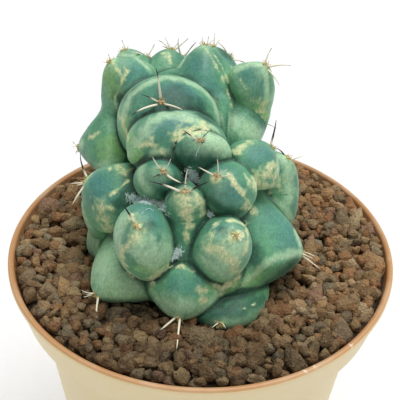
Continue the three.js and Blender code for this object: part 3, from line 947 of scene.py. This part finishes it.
def skin_fields(bm, forms, far_forms, surface):
    """What the skin's material reads at each point: the marks and the lie of the tubercles."""
    points = np.array([vert.co for vert in bm.verts])
    distances, places = reach_of_forms(forms, points)
    owners = distances.argmin(axis=0)
    nearest = np.partition(distances, 1, axis=0)
    softness = np.array([form.soft for form in forms])[owners]
    between = np.clip(1 - (nearest[1] - nearest[0]) / FURROW_REACH, 0, 1)
    below = below_broad_shape(bm)
    fields = {
        "towards_tip": np.clip(places[owners, np.arange(len(points))], 0, 1),
        "height": points[:, 2],
        # Painted shade in the furrows and hollows, and painted light on the ridges
        "furrow_shade": between * (1 - FURROW_LOSS * softness) * rising(below, *FURROWS),
        "hollow_shade": rising(below, *HOLLOWS),
        "lit_ridge": rising(-below, *RIDGES),
    }
    far = far_marks(far_forms, surface, random.Random(MARK_SEED))
    for kind, strokes in MARKS.items():
        spread, raggedness = MARK_EDGES[kind]
        seen = [(width * spread, seen_on(surface, path)) for width, path in strokes]
        fields[kind] = painted(points, owners, seen + far[kind], raggedness, forms)
    fields["wool"] = np.zeros(len(points))
    for width, path in WOOL:
        seen = np.array(seen_on(surface, path))
        near = np.nonzero(np.linalg.norm(points - seen.mean(axis=0), axis=1) < WOOL_REACH)[0]
        gaps = np.linalg.norm(points[near][:, None] - seen[None], axis=2).min(axis=1)
        fields["wool"][near] = np.maximum(fields["wool"][near], np.clip(WOOL_SPREAD - gaps / width, 0, 1))
    return fields


# Spines, felt and wool

def thorn(heap, shape, root, tip, thickness, bow, **values):
    """A slim closed thorn that bows sideways between its root and its tip."""
    faces, points = shape
    across, rise, along = points.T
    turn = (tip - root).to_track_quat("Z", "Y")
    radius = thickness + (SPINE_TIP - thickness) * along ** SPINE_TAPER
    placed = np.array(root) + np.outer(along, tip - root) + np.outer(4 * along * (1 - along), bow)
    placed += np.outer(across * radius, turn @ Vector((1, 0, 0)))
    placed += np.outer(rise * radius, turn @ Vector((0, 1, 0)))
    heap.put(faces, placed, along=along, **values)


def fan_of_spines(form, draw):
    """Steps to the tips of an even fan of spines that lean out round the tubercle's axis."""
    level, upright, axis, _ = axes_of(form)
    start = draw.uniform(0, pi)
    steps = []
    for index in range(FAN_SPINES):
        bearing = start + 2 * pi * (index + draw.uniform(0, FAN_JITTER)) / FAN_SPINES
        out = (level * cos(bearing) + upright * sin(bearing)) * sin(FAN_LEAN)
        step = (out + axis * cos(FAN_LEAN)) * (FAN_LENGTH * draw.uniform(*FAN_SHARES))
        steps.append((*step, draw.choice(FAN_BLACKS)))
    return steps


def youth(place):
    """How young an areole is: 1 at the crown of the front head, 0 well away from it."""
    return fading((place - YOUNG_MIDDLE).length, *YOUNG_REACH)


def spines_and_felt(forms, far_forms, surface):
    """The spines of all areoles, and the felt that they stand in."""
    draw = random.Random(SPINE_SEED)
    spines, felt = Heap(), Heap()
    shape = rod(SPINE_SIDES)
    for form in forms:
        steps = fan_of_spines(form, draw) if form in far_forms else form.spines
        if not steps or form.tip.z < PILE_TOP - SUNK_DEPTH:
            continue
        areole, normal, _, _ = surface.find_nearest(form.tip)
        young = youth(areole)
        for x, y, z, black in steps:
            tip = form.tip + Vector((x, y, z))
            tip.z = max(tip.z, LOWEST_SPINE_TIP)
            span = tip - areole
            side = (span - normal * span.dot(normal)).normalized()
            root = areole - normal * SPINE_ROOT + side * SPINE_SPREAD
            thickness = SPINE_THICKNESS * min(1, SHORT_SPINE_SHARE + span.length / SHORT_SPINE_LENGTH)
            bow = (normal * SPINE_BOW + scatter(draw, SPINE_BOW_SPREAD)) * span.length
            thorn(spines, shape, root, tip, thickness, bow, tone=young, black=black)
        pad(felt, areole, normal, young, draw)
    return spines.mesh(), felt.mesh()


def pad(heap, areole, normal, young, draw):
    """The felt of an areole: small lumps and short stiff hairs."""
    turn = normal.to_track_quat("Z", "Y")
    faces, points = ball(subdivisions=1)
    for _ in range(FELT_LUMPS):
        size = draw.uniform(*FELT_LUMP_SIZES)
        out = Vector([draw.gauss(0, FELT_LUMP_SPREAD) for _ in range(2)] + [size * FELT_LUMP_SEAT])
        place = areole + turn @ out
        stretch = [draw.uniform(*FELT_LUMP_STRETCH) * size for _ in range(3)]
        heap.put(faces, np.array(place) + points * stretch, along=0.0, tone=young)
    shape = rod(HAIR_SIDES)
    for _ in range(FELT_HAIRS):
        bearing = draw.uniform(0, 2 * pi)
        lean = draw.uniform(*FELT_HAIR_LEANS)
        heading = Vector((cos(bearing) * sin(lean), sin(bearing) * sin(lean), cos(lean)))
        out = Vector([draw.gauss(0, FELT_HAIR_SPREAD) for _ in range(2)] + [-FELT_HAIR_ROOT])
        root = areole + turn @ out
        tip = root + turn @ heading * draw.uniform(*FELT_HAIR_LENGTHS)
        thorn(heap, shape, root, tip, FELT_HAIR_THICKNESS, scatter(draw, FELT_HAIR_BOW), tone=young)


def wool(surface):
    """Tufts of fine wool in the furrows, and threads that have fallen on the skin."""
    draw = random.Random(WOOL_SEED)
    heap = Heap()
    shape = rod(HAIR_SIDES)
    for width, path in WOOL:
        for place in seen_on(surface, path):
            for _ in range(WOOL_HAIRS):
                root = surface.find_nearest(place + scatter(draw, width))[0]
                heading = scatter(draw, 1).normalized()
                reach = draw.uniform(*WOOL_LENGTHS)
                tip, normal, _, _ = surface.find_nearest(root + heading * reach)
                tip += normal * draw.uniform(0, WOOL_LIFT)
                bow = scatter(draw, WOOL_BOW) + normal * WOOL_ARCH
                thorn(heap, shape, root, tip, WOOL_THICKNESS, bow * reach, tone=draw.random())
    for path in THREADS:
        places = seen_on(surface, path)[::THREAD_POINTS]
        for start, end in zip(places, places[1:]):
            lift = scatter(draw, THREAD_LIFT)
            thorn(heap, shape, start + lift, end + lift, THREAD_THICKNESS, lift, tone=draw.random())
    return heap.mesh()


# Grit

def bed_of_grit():
    """The fine dark bed under the stones: a ring from the pot's wall to the root. Its inner points
    are spun at a small radius, and then moved to the root's surface."""
    inner, steps = 5, 3
    heights = [BED_FOOT + (BED_TOP - BED_FOOT) * step / steps for step in range(steps + 1)]
    profile = [(inner, BED_FOOT)]
    profile += [(inner_radius(height) - CLEARANCE, height) for height in heights]
    profile += [(inner, height) for height in reversed(heights)]
    bm = bmesh.new()
    turned(bm, profile, POT_SIDES)
    for vert in bm.verts:
        if hypot(vert.co.x, vert.co.y) < inner + 1:
            scale = radius_at(ROOT_PROFILE, vert.co.z) / inner
            vert.co.x = ROOT_AXIS[0] + vert.co.x * scale
            vert.co.y = ROOT_AXIS[1] + vert.co.y * scale * ROOT_DEPTH_SCALE
    return bm


def resting_stones(surface):
    """Places and sizes of stones that are dropped one by one on the bed and on each other, and their
    gaps to the plant."""
    draw = random.Random(PILE_SEED)
    reach = inner_radius(BED_TOP) - CLEARANCE
    column = 2 * STONE_SIZES[1]
    placed, columns = [], {}
    for _ in range(STONE_TRIES):
        size = STONE_SIZES[0] + (STONE_SIZES[1] - STONE_SIZES[0]) * draw.random() ** STONE_BIAS
        out = sqrt(draw.random()) * (reach - STONE_WALL_GAP * size)
        bearing = draw.uniform(0, 2 * pi)
        x, y = out * cos(bearing), out * sin(bearing)
        rest = BED_TOP + STONE_SEAT * size
        key = (floor(x / column), floor(y / column))
        for across in (-1, 0, 1):
            for along in (-1, 0, 1):
                for other, other_size in columns.get((key[0] + across, key[1] + along), ()):
                    gap = hypot(x - other.x, y - other.y)
                    touching = STONE_TOUCH * (size + other_size)
                    if gap < touching:
                        rest = max(rest, other.z + sqrt(touching ** 2 - gap ** 2))
        place = Vector((x, y, rest))
        if rest + STONE_RISE * size > PILE_TOP:
            continue
        nearest, normal, _, _ = surface.find_nearest(place)
        gap = (place - nearest).dot(normal)
        if gap < STONE_PLANT_GAP * size:
            continue
        columns.setdefault(key, []).append((place, size))
        placed.append((place, size, gap))
    return placed


def stones(surface):
    """The stones as crushed lumps, pressed flat where they meet the pot's wall."""
    draw = random.Random(STONE_SEED)
    heap = Heap()
    wall = inner_radius(BED_TOP) - WALL_GAP
    faces, points = ball(subdivisions=2)
    for place, size, gap in resting_stones(surface):
        shade = draw.uniform(*STONE_SHADES)
        tone = [shade * part for part in linear(draw.choice(STONE_COLOURS))[:3]]
        shift = Vector([draw.uniform(-NOISE_SHIFT, NOISE_SHIFT) for _ in range(3)])
        stretch = [draw.uniform(*STONE_STRETCH) for _ in range(3)]
        turn = Quaternion([draw.gauss(0, 1) for _ in range(4)]).normalized()
        swell = np.ones(len(points))
        for depth, fineness in STONE_LUMPS:
            swell += [depth * noise.noise(Vector(point) * fineness + shift) for point in points]
        lumpy = points * swell[:, None]
        for _ in range(STONE_CUTS):
            flat = np.array(scatter(draw, 1).normalized())
            cut = np.clip(STONE_CUT_SHARE * (lumpy @ flat - STONE_CUT_PLACE), 0, None)
            lumpy -= np.outer(cut, flat)
        # Painted shade: stones in the plant's shadow towards the camera, beside it and under its lowest
        # tubercles are darker
        unshaded = 1 - PAINTED_FRONT_SHADE * rising(PAINTED_FRONT_SHADE_START - place.y, 0, PAINTED_FRONT_SHADE_FADE)
        unshaded *= 1 - PAINTED_PLANT_SHADE * fading(gap, 0, PAINTED_PLANT_SHADE_REACH)
        for (x, y), reach, darker in SHADED_GRIT:
            unshaded *= 1 - darker * fading(hypot(place.x - x, place.y - y), SHADE_HEART * reach, reach)
        shaped = (lumpy * stretch * size) @ np.array(turn.to_matrix()).T
        values = {name: part * unshaded for name, part in zip(("red", "green", "blue"), tone)}
        placed = np.array(place) + shaped
        inwards = np.minimum(1, wall / np.hypot(placed[:, 0], placed[:, 1]))
        placed[:, :2] *= inwards[:, None]
        heap.put(faces, placed, **values)
    return heap.mesh()


# Pot

def body_radius(height):
    return BASE_RADIUS + BODY_TAPER * height


def inner_radius(height):
    """The pot's inner wall at a height, one wall thickness inside the outer one."""
    return radius_at(WALL_CORNERS, height) - WALL


def pot_shell():
    foot = [
        (0, FOOT_HEIGHT),
        (BASE_RADIUS - FOOT_WIDTH - FOOT_EDGE, FOOT_HEIGHT),
        (BASE_RADIUS - FOOT_WIDTH, 0),
        (BASE_RADIUS - FOOT_EDGE, 0),
        (body_radius(FOOT_EDGE), FOOT_EDGE),
        (body_radius(STEP_FOOT), STEP_FOOT),
    ]
    step = []
    for index in range(1, STEP_POINTS + 1):
        part = index / (STEP_POINTS + 1)
        swell = part * part * (3 - 2 * part)
        low, high = body_radius(STEP_FOOT), COLLAR_FOOT_RADIUS
        step.append((low + (high - low) * swell, STEP_FOOT + STEP_DEPTH * part))
    collar = [
        (COLLAR_FOOT_RADIUS, STEP_TOP),
        (RIM_RADIUS - LIP_OVERHANG, POT_HEIGHT - LIP_DEPTH),
        (RIM_RADIUS, POT_HEIGHT - LIP_DEPTH + LIP_OVERHANG),
    ]
    lip = []
    half = LIP_WIDTH / 2
    for index in range(LIP_STEPS + 1):
        angle = pi * index / LIP_STEPS
        lip.append((RIM_RADIUS - half + half * cos(angle), POT_HEIGHT - half + half * sin(angle)))
    inside = [
        (inner_radius(height), height)
        for height in (POT_HEIGHT - LIP_DEPTH, STEP_TOP, STEP_FOOT, FLOOR_TOP)
    ]
    bm = bmesh.new()
    turned(bm, [*foot, *step, *collar, *lip, *inside, (0, FLOOR_TOP)], POT_SIDES)
    drills = bmesh.new()
    for index in range(DRAIN_COUNT):
        bearing = 2 * pi * index / DRAIN_COUNT
        place = Vector((DRAIN_CIRCLE * cos(bearing), DRAIN_CIRCLE * sin(bearing), FLOOR_TOP / 2))
        bmesh.ops.create_cone(
            drills, cap_ends=True, segments=DRAIN_SIDES, radius1=DRAIN_RADIUS, radius2=DRAIN_RADIUS,
            depth=2 * FLOOR_TOP, matrix=Matrix.Translation(place),
        )
    cutter = in_scene("tool", as_mesh(drills))
    shell = reshaped(bm, "BOOLEAN", operation="DIFFERENCE", object=cutter, solver="EXACT")
    bpy.data.objects.remove(cutter)
    return shell


# Materials

def layered(tree, coordinates, colour, layers):
    """The colour with each layer over it. A layer is the attribute that says where it lies, its
    colour, how much of the ground it hides at most, the size and the depth of the grain that frays
    it, and the values at which it starts and is full."""
    for name, code, most, grain_size, fray, low, high in layers:
        where = add(tree, "ShaderNodeAttribute", attribute_name=name).outputs["Fac"]
        grain = add(tree, "ShaderNodeTexNoise", {
            "Vector": coordinates, "Scale": per(grain_size), "Detail": 5, "Roughness": 0.65,
        }).outputs["Fac"]
        uneven = add(tree, "ShaderNodeMath", {0: grain, 1: 4 * fray, 2: 1 - 2 * fray},
                     operation="MULTIPLY_ADD").outputs[0]
        frayed = add(tree, "ShaderNodeMath", {0: where, 1: uneven}, operation="MULTIPLY").outputs[0]
        share = add(tree, "ShaderNodeMapRange", {
            "Value": frayed, "From Min": low, "From Max": high, "To Max": most,
        }, interpolation_type="SMOOTHSTEP").outputs[0]
        colour = add(tree, "ShaderNodeMixRGB", {
            "Fac": share, "Color1": colour, "Color2": linear(code),
        }).outputs[0]
    return colour


def skin_look():
    """Blue-green flesh under a pale wax: cloudy, with painted shade in the furrows and hollows and
    painted light on the crests and rims, yellower near the ground and lighter there as painted fill
    light, with tan cork where it has scarred."""
    look, tree = material("waxy cactus skin, grown")
    place = add(tree, "ShaderNodeTexCoord").outputs["Object"]
    clouds = add(tree, "ShaderNodeTexNoise", {
        "Vector": place, "Scale": per(7), "Detail": 4, "Roughness": 0.6, "Distortion": 0.4,
    }).outputs["Fac"]
    colour = add(tree, "ShaderNodeValToRGB", {"Fac": clouds}, [
        (0.3, linear("4C8C6C")), (0.5, linear("629E7A")), (0.7, linear("7AB08C")),
    ]).outputs[0]
    height = add(tree, "ShaderNodeAttribute", attribute_name="height").outputs["Fac"]
    # Yellower skin near the ground, and lighter there as painted fill light
    low, high = LOW_SKIN_AND_FILL_HEIGHTS
    share = add(tree, "ShaderNodeMapRange", {
        "Value": height, "From Min": low, "From Max": high, "To Min": LOW_SKIN_AND_FILL_SHARE, "To Max": 0,
    }).outputs[0]
    colour = add(tree, "ShaderNodeMixRGB", {
        "Fac": share, "Color1": colour, "Color2": linear(LOW_SKIN_AND_FILL),
    }).outputs[0]
    colour = layered(tree, place, colour, SKIN_LAYERS)
    speckle = add(tree, "ShaderNodeTexNoise", {
        "Vector": place, "Scale": per(0.9), "Detail": 6, "Roughness": 0.75,
    }).outputs["Fac"]
    shade = add(tree, "ShaderNodeMapRange", {
        "Value": speckle, "From Min": 0.3, "From Max": 0.7, "To Min": 0.84, "To Max": 1.16,
    }).outputs[0]
    colour = add(tree, "ShaderNodeVectorMath", {0: colour, 1: shade}, operation="MULTIPLY").outputs[0]
    upright = add(tree, "ShaderNodeVectorMath", {0: place, 1: (1, 1, 0.4)}, operation="MULTIPLY").outputs[0]
    fibres = add(tree, "ShaderNodeTexNoise", {
        "Vector": upright, "Scale": per(0.4), "Detail": 3, "Roughness": 0.7,
    }).outputs["Fac"]
    streaks = add(tree, "ShaderNodeMapRange", {
        "Value": fibres, "From Min": 0.3, "From Max": 0.7, "To Min": 0.8, "To Max": 1.2,
    }).outputs[0]
    colour = add(tree, "ShaderNodeVectorMath", {0: colour, 1: streaks}, operation="MULTIPLY").outputs[0]
    dots = add(tree, "ShaderNodeTexVoronoi", {"Vector": place, "Scale": per(0.7)}).outputs["Distance"]
    dotted = add(tree, "ShaderNodeMapRange", {
        "Value": dots, "From Min": 0.08, "From Max": 0.3, "To Min": 0.14, "To Max": 0,
    }).outputs[0]
    colour = add(tree, "ShaderNodeMixRGB", {
        "Fac": dotted, "Color1": colour, "Color2": linear("9CC0A8"),
    }).outputs[0]
    cork = add(tree, "ShaderNodeAttribute", attribute_name="cork").outputs["Fac"]
    scales = add(tree, "ShaderNodeTexVoronoi", {"Vector": place, "Scale": per(0.8)}).outputs["Distance"]
    roughness = add(tree, "ShaderNodeMapRange", {
        "Value": cork, "To Min": 0.46, "To Max": 0.85,
    }).outputs[0]
    fine = add(tree, "ShaderNodeBump", {
        "Height": fibres, "Strength": 0.4, "Distance": 0.2 * MM,
    }).outputs[0]
    relief = add(tree, "ShaderNodeMath", {0: cork, 1: scales}, operation="MULTIPLY").outputs[0]
    rough = add(tree, "ShaderNodeBump", {
        "Height": relief, "Strength": 0.5, "Distance": 0.2 * MM, "Normal": fine,
    }).outputs[0]
    shader = add(tree, "ShaderNodeBsdfPrincipled", {
        "Base Color": colour, "Roughness": roughness, "Normal": rough, "IOR": 1.42,
        "Subsurface Weight": 0.12, "Subsurface Radius": (0.6, 1.0, 0.5), "Subsurface Scale": 1.2 * MM,
        "Sheen Weight": 0.5, "Sheen Roughness": 0.35, "Sheen Tint": linear("CCF2D4"),
    })
    add(tree, "ShaderNodeOutputMaterial", {"Surface": shader.outputs[0]})
    return look


def spine_look():
    """Ivory horn, red-brown at the root of the young spines, and black towards some tips."""
    look, tree = material("horny spine, grown")
    along = add(tree, "ShaderNodeAttribute", attribute_name="along").outputs["Fac"]
    young = add(tree, "ShaderNodeAttribute", attribute_name="tone").outputs["Fac"]
    black = add(tree, "ShaderNodeAttribute", attribute_name="black").outputs["Fac"]
    root = add(tree, "ShaderNodeMixRGB", {
        "Fac": young, "Color1": linear("D6BE7E"), "Color2": linear("A8643A"),
    }).outputs[0]
    up = add(tree, "ShaderNodeMapRange", {"Value": along, "From Min": 0.03, "From Max": 0.14}).outputs[0]
    colour = add(tree, "ShaderNodeMixRGB", {
        "Fac": up, "Color1": root, "Color2": linear("F4ECD2"),
    }).outputs[0]
    reach = add(tree, "ShaderNodeMath", {0: along, 1: black}, operation="ADD").outputs[0]
    charred = add(tree, "ShaderNodeMapRange", {
        "Value": reach, "From Min": 0.93, "From Max": 1.12,
    }).outputs[0]
    colour = add(tree, "ShaderNodeMixRGB", {
        "Fac": charred, "Color1": colour, "Color2": linear("1E1814"),
    }).outputs[0]
    shader = add(tree, "ShaderNodeBsdfPrincipled", {"Base Color": colour, "Roughness": 0.45})
    add(tree, "ShaderNodeOutputMaterial", {"Surface": shader.outputs[0]})
    return look


def felt_look():
    """Short dense felt: straw-coloured on old areoles, rust-brown on young ones."""
    look, tree = material("areole felt, grown")
    place = add(tree, "ShaderNodeTexCoord").outputs["Object"]
    young = add(tree, "ShaderNodeAttribute", attribute_name="tone").outputs["Fac"]
    mottle = add(tree, "ShaderNodeTexNoise", {"Vector": place, "Scale": per(0.8)}).outputs["Fac"]
    old = add(tree, "ShaderNodeMixRGB", {
        "Fac": mottle, "Color1": linear("B59A52"), "Color2": linear("E2D08C"),
    }).outputs[0]
    fresh = add(tree, "ShaderNodeMixRGB", {
        "Fac": mottle, "Color1": linear("A87444"), "Color2": linear("E4D29E"),
    }).outputs[0]
    colour = add(tree, "ShaderNodeMixRGB", {"Fac": young, "Color1": old, "Color2": fresh}).outputs[0]
    shader = add(tree, "ShaderNodeBsdfPrincipled", {
        "Base Color": colour, "Roughness": 0.9, "Sheen Weight": 0.4,
    })
    add(tree, "ShaderNodeOutputMaterial", {"Surface": shader.outputs[0]})
    return look


def wool_look():
    """Thin bluish-white wool with a faint painted glow, so that it stays pale in the shade of the furrows.
    """
    look, tree = material("axil wool, grown")
    tone = add(tree, "ShaderNodeAttribute", attribute_name="tone").outputs["Fac"]
    colour = add(tree, "ShaderNodeMixRGB", {
        "Fac": tone, "Color1": linear("B6D2CC"), "Color2": linear("E4F2EE"),
    }).outputs[0]
    shader = add(tree, "ShaderNodeBsdfPrincipled", {
        # The faint emission is a painted glow that keeps the wool pale in the furrows' shade
        "Base Color": colour, "Roughness": 0.9, "Sheen Weight": 0.6, "Emission Color": colour,
        "Emission Strength": 0.1,
    })
    add(tree, "ShaderNodeOutputMaterial", {"Surface": shader.outputs[0]})
    return look


def stone_look():
    """Dull brown lava stones, each of its own tone and painted shade, with dark pores and dusty high spots.
    """
    look, tree = material("porous lava grit, crushed")
    place = add(tree, "ShaderNodeTexCoord").outputs["Object"]
    tone = add(tree, "ShaderNodeCombineColor", {
        channel.capitalize(): add(tree, "ShaderNodeAttribute", attribute_name=channel).outputs["Fac"]
        for channel in ("red", "green", "blue")
    }).outputs[0]
    dust = add(tree, "ShaderNodeTexNoise", {
        "Vector": place, "Scale": per(1.6), "Detail": 6, "Roughness": 0.7,
    }).outputs["Fac"]
    dusted = add(tree, "ShaderNodeMapRange", {
        "Value": dust, "From Min": 0.4, "From Max": 0.75, "To Max": 0.5,
    }).outputs[0]
    colour = add(tree, "ShaderNodeMixRGB", {
        "Fac": dusted, "Color1": tone, "Color2": linear("B49A72"),
    }).outputs[0]
    pits = add(tree, "ShaderNodeTexVoronoi", {"Vector": place, "Scale": per(0.55)}).outputs["Distance"]
    pitted = add(tree, "ShaderNodeMapRange", {
        "Value": pits, "From Min": 0.08, "From Max": 0.3, "To Min": 0.45, "To Max": 0,
    }).outputs[0]
    colour = add(tree, "ShaderNodeMixRGB", {
        "Fac": pitted, "Color1": colour, "Color2": linear("2C2016"),
    }).outputs[0]
    bump = add(tree, "ShaderNodeBump", {"Height": dust, "Strength": 1.0, "Distance": 0.8 * MM}).outputs[0]
    pocked = add(tree, "ShaderNodeBump", {
        "Height": pits, "Strength": 0.8, "Distance": 0.35 * MM, "Normal": bump,
    }).outputs[0]
    shader = add(tree, "ShaderNodeBsdfPrincipled", {
        "Base Color": colour, "Roughness": 0.92, "Normal": pocked, "Specular IOR Level": 0.25,
    })
    add(tree, "ShaderNodeOutputMaterial", {"Surface": shader.outputs[0]})
    return look


def soil_look(name, dark, light, size):
    """Crumbly mineral soil in two tones."""
    look, tree = material(name)
    place = add(tree, "ShaderNodeTexCoord").outputs["Object"]
    crumbs = add(tree, "ShaderNodeTexVoronoi", {"Vector": place, "Scale": per(size)})
    colour = add(tree, "ShaderNodeMixRGB", {
        "Fac": crumbs.outputs["Distance"], "Color1": linear(light), "Color2": linear(dark),
    }).outputs[0]
    bump = add(tree, "ShaderNodeBump", {
        "Height": crumbs.outputs["Distance"], "Strength": 0.8, "Distance": 0.5 * size * MM,
    }).outputs[0]
    shader = add(tree, "ShaderNodeBsdfPrincipled", {
        "Base Color": colour, "Roughness": 0.95, "Normal": bump,
    })
    add(tree, "ShaderNodeOutputMaterial", {"Surface": shader.outputs[0]})
    return look


def pot_look():
    """Sand-coloured moulded plastic, with a painted highlight under a lip painted a warmer tan for the
    light through its thin plastic, and an inside painted a darker tan for its shade.
    """
    look, tree = material("sand-coloured polypropylene, moulded")
    place = add(tree, "ShaderNodeTexCoord").outputs["Object"]
    axes = add(tree, "ShaderNodeSeparateXYZ", {"Vector": place}).outputs
    height = add(tree, "ShaderNodeMath", {0: axes["Z"], 1: 1 / MM}, operation="MULTIPLY").outputs[0]
    level = add(tree, "ShaderNodeMapRange", {
        "Value": height, "From Min": LIP_SHADES[0], "From Max": LIP_SHADES[1],
    }).outputs[0]
    # Wall colour, a lighter painted highlight just under the lip, then the lip's warmer tan, painted for
    # light through its thin plastic
    colour = add(tree, "ShaderNodeValToRGB", {"Fac": level}, [
        (0.0, linear("F6E2B2")), (0.3, linear("FBE6B0")), (0.45, linear("E4BE88")),
        (0.6, linear("CA9C68")), (0.8, linear("C09062")), (1.0, linear("CCA06E")),
    ]).outputs[0]
    flat = add(tree, "ShaderNodeVectorMath", {0: place, 1: (1, 1, 0)}, operation="MULTIPLY").outputs[0]
    radius = add(tree, "ShaderNodeVectorMath", {0: flat}, operation="LENGTH").outputs["Value"]
    millimetres = add(tree, "ShaderNodeMath", {0: radius, 1: 1 / MM}, operation="MULTIPLY").outputs[0]
    widening = (RIM_RADIUS - LIP_OVERHANG - COLLAR_FOOT_RADIUS) / (COLLAR_DEPTH - LIP_DEPTH)
    collar = add(tree, "ShaderNodeMath", {
        0: height, 1: widening, 2: COLLAR_FOOT_RADIUS - WALL / 2 - widening * STEP_TOP,
    }, operation="MULTIPLY_ADD").outputs[0]
    inward = add(tree, "ShaderNodeMath", {0: millimetres, 1: collar}, operation="LESS_THAN").outputs[0]
    upper = add(tree, "ShaderNodeMath", {0: height, 1: STEP_TOP}, operation="GREATER_THAN").outputs[0]
    inside = add(tree, "ShaderNodeMath", {0: upper, 1: inward}, operation="MULTIPLY").outputs[0]
    # Painted shade: the inside of the pot is a darker tan
    colour = add(tree, "ShaderNodeMixRGB", {
        "Fac": inside, "Color1": colour, "Color2": linear("AE8052"),
    }).outputs[0]
    smears = add(tree, "ShaderNodeTexNoise", {
        "Vector": place, "Scale": per(9), "Detail": 5, "Roughness": 0.6,
    }).outputs["Fac"]
    smeared = add(tree, "ShaderNodeMapRange", {
        "Value": smears, "From Min": 0.45, "From Max": 0.8, "To Max": 0.3,
    }).outputs[0]
    colour = add(tree, "ShaderNodeMixRGB", {
        "Fac": smeared, "Color1": colour, "Color2": linear("F0E2C4"),
    }).outputs[0]
    chips = add(tree, "ShaderNodeTexNoise", {"Vector": place, "Scale": per(0.4), "Detail": 3}).outputs["Fac"]
    for x, y in SCUFFS:
        gap = add(tree, "ShaderNodeVectorMath", {
            0: place, 1: (x * MM, y * MM, POT_HEIGHT * MM),
        }, operation="DISTANCE").outputs["Value"]
        reached = add(tree, "ShaderNodeMapRange", {
            "Value": gap, "From Max": 1.3 * MM, "To Min": 0.5, "To Max": 0,
        }).outputs[0]
        both = add(tree, "ShaderNodeMath", {0: chips, 1: reached}, operation="ADD").outputs[0]
        chipped = add(tree, "ShaderNodeMapRange", {
            "Value": both, "From Min": 0.8, "From Max": 1, "To Max": 0.6,
        }).outputs[0]
        colour = add(tree, "ShaderNodeMixRGB", {
            "Fac": chipped, "Color1": colour, "Color2": linear("F6E6D0"),
        }).outputs[0]
    bump = add(tree, "ShaderNodeBump", {"Height": smears, "Strength": 0.08, "Distance": 0.6 * MM}).outputs[0]
    shader = add(tree, "ShaderNodeBsdfPrincipled", {
        "Base Color": colour, "Roughness": 0.5, "Normal": bump, "Subsurface Weight": 0.08,
        "Subsurface Scale": 2 * MM,
    })
    add(tree, "ShaderNodeOutputMaterial", {"Surface": shader.outputs[0]})
    return look


def floor_look():
    """Even white paper, lit through from below so that it hardly shows a shadow."""
    look, tree = material("white studio paper")
    place = add(tree, "ShaderNodeTexCoord").outputs["Object"]
    fibres = add(tree, "ShaderNodeTexNoise", {"Vector": place, "Scale": per(3), "Detail": 4}).outputs["Fac"]
    colour = add(tree, "ShaderNodeMixRGB", {
        "Fac": fibres, "Color1": linear("C6C6C6"), "Color2": linear("CCCCCC"),
    }).outputs[0]
    shader = add(tree, "ShaderNodeBsdfPrincipled", {
        "Base Color": colour, "Roughness": 0.9, "Emission Color": (1, 1, 1, 1),
        "Emission Strength": FLOOR_GLOW,
    })
    add(tree, "ShaderNodeOutputMaterial", {"Surface": shader.outputs[0]})
    return look


# Studio

def add_floor():
    bm = bmesh.new()
    bmesh.ops.create_circle(bm, cap_ends=True, segments=FLOOR_SIDES, radius=FLOOR_RADIUS * MM)
    mesh = as_mesh(bm)
    mesh.materials.append(floor_look())
    in_scene("floor", mesh)


def add_lights():
    """Even surroundings, white to the camera and dimmer as a light, and one broad soft light from
    above, a little to the right and behind."""
    world = bpy.data.worlds.new("studio")
    bpy.context.scene.world = world
    world.use_nodes = True
    seen = add(world.node_tree, "ShaderNodeLightPath").outputs["Is Camera Ray"]
    strength = add(world.node_tree, "ShaderNodeMapRange", {
        "Value": seen, "To Min": WORLD_LIGHT, "To Max": BACKDROP,
    }).outputs[0]
    background = world.node_tree.nodes["Background"]
    background.inputs["Color"].default_value = (1, 1, 1, 1)
    world.node_tree.links.new(strength, background.inputs["Strength"])
    lamp = bpy.data.lights.new("softbox", "SUN")
    lamp.energy = SUN_STRENGTH
    lamp.angle = radians(SUN_SPREAD)
    made = in_scene("softbox", lamp)
    made.rotation_euler = (radians(SUN_LEAN[0]), radians(SUN_LEAN[1]), 0)
    bpy.context.scene.view_settings.view_transform = "Standard"


# The whole

add_camera()
add_floor()
add_lights()
far_forms = [form for ring in BACK_RINGS for form in ring_tubercles(ring)]
forms = FRONT_HEAD + BACK_HEAD + far_forms
skin = flesh(forms)
surface = BVHTree.FromBMesh(skin)
fields = skin_fields(skin, forms, far_forms, surface)
spines, felt = spines_and_felt(forms, far_forms, surface)
finished(marked(as_mesh(skin), fields), "cactus_flesh", skin_look(), "cactus_skin", "cactus")
finished(spines, "cactus_spines", spine_look(), "cactus_skin", "cactus")
finished(felt, "areole_felt", felt_look(), "cactus_skin", "cactus")
finished(wool(surface), "axil_wool", wool_look(), "cactus_skin", "cactus")
finished(stones(surface), "grit_stones", stone_look(), "lava_grit", "top_grit")
fines = soil_look("fine lava grit, crushed", "1A140E", "4A3A2A", 1.2)
finished(as_mesh(bed_of_grit()), "grit_bed", fines, "lava_grit", "top_grit")
finished(as_mesh(pot_shell()), "pot_shell", pot_look(), "pot_plastic", "pot")
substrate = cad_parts["substrate"]
substrate.data.materials.clear()
substrate.data.materials.append(soil_look("mineral potting mix", "2A1E16", "6A5440", 2.2))
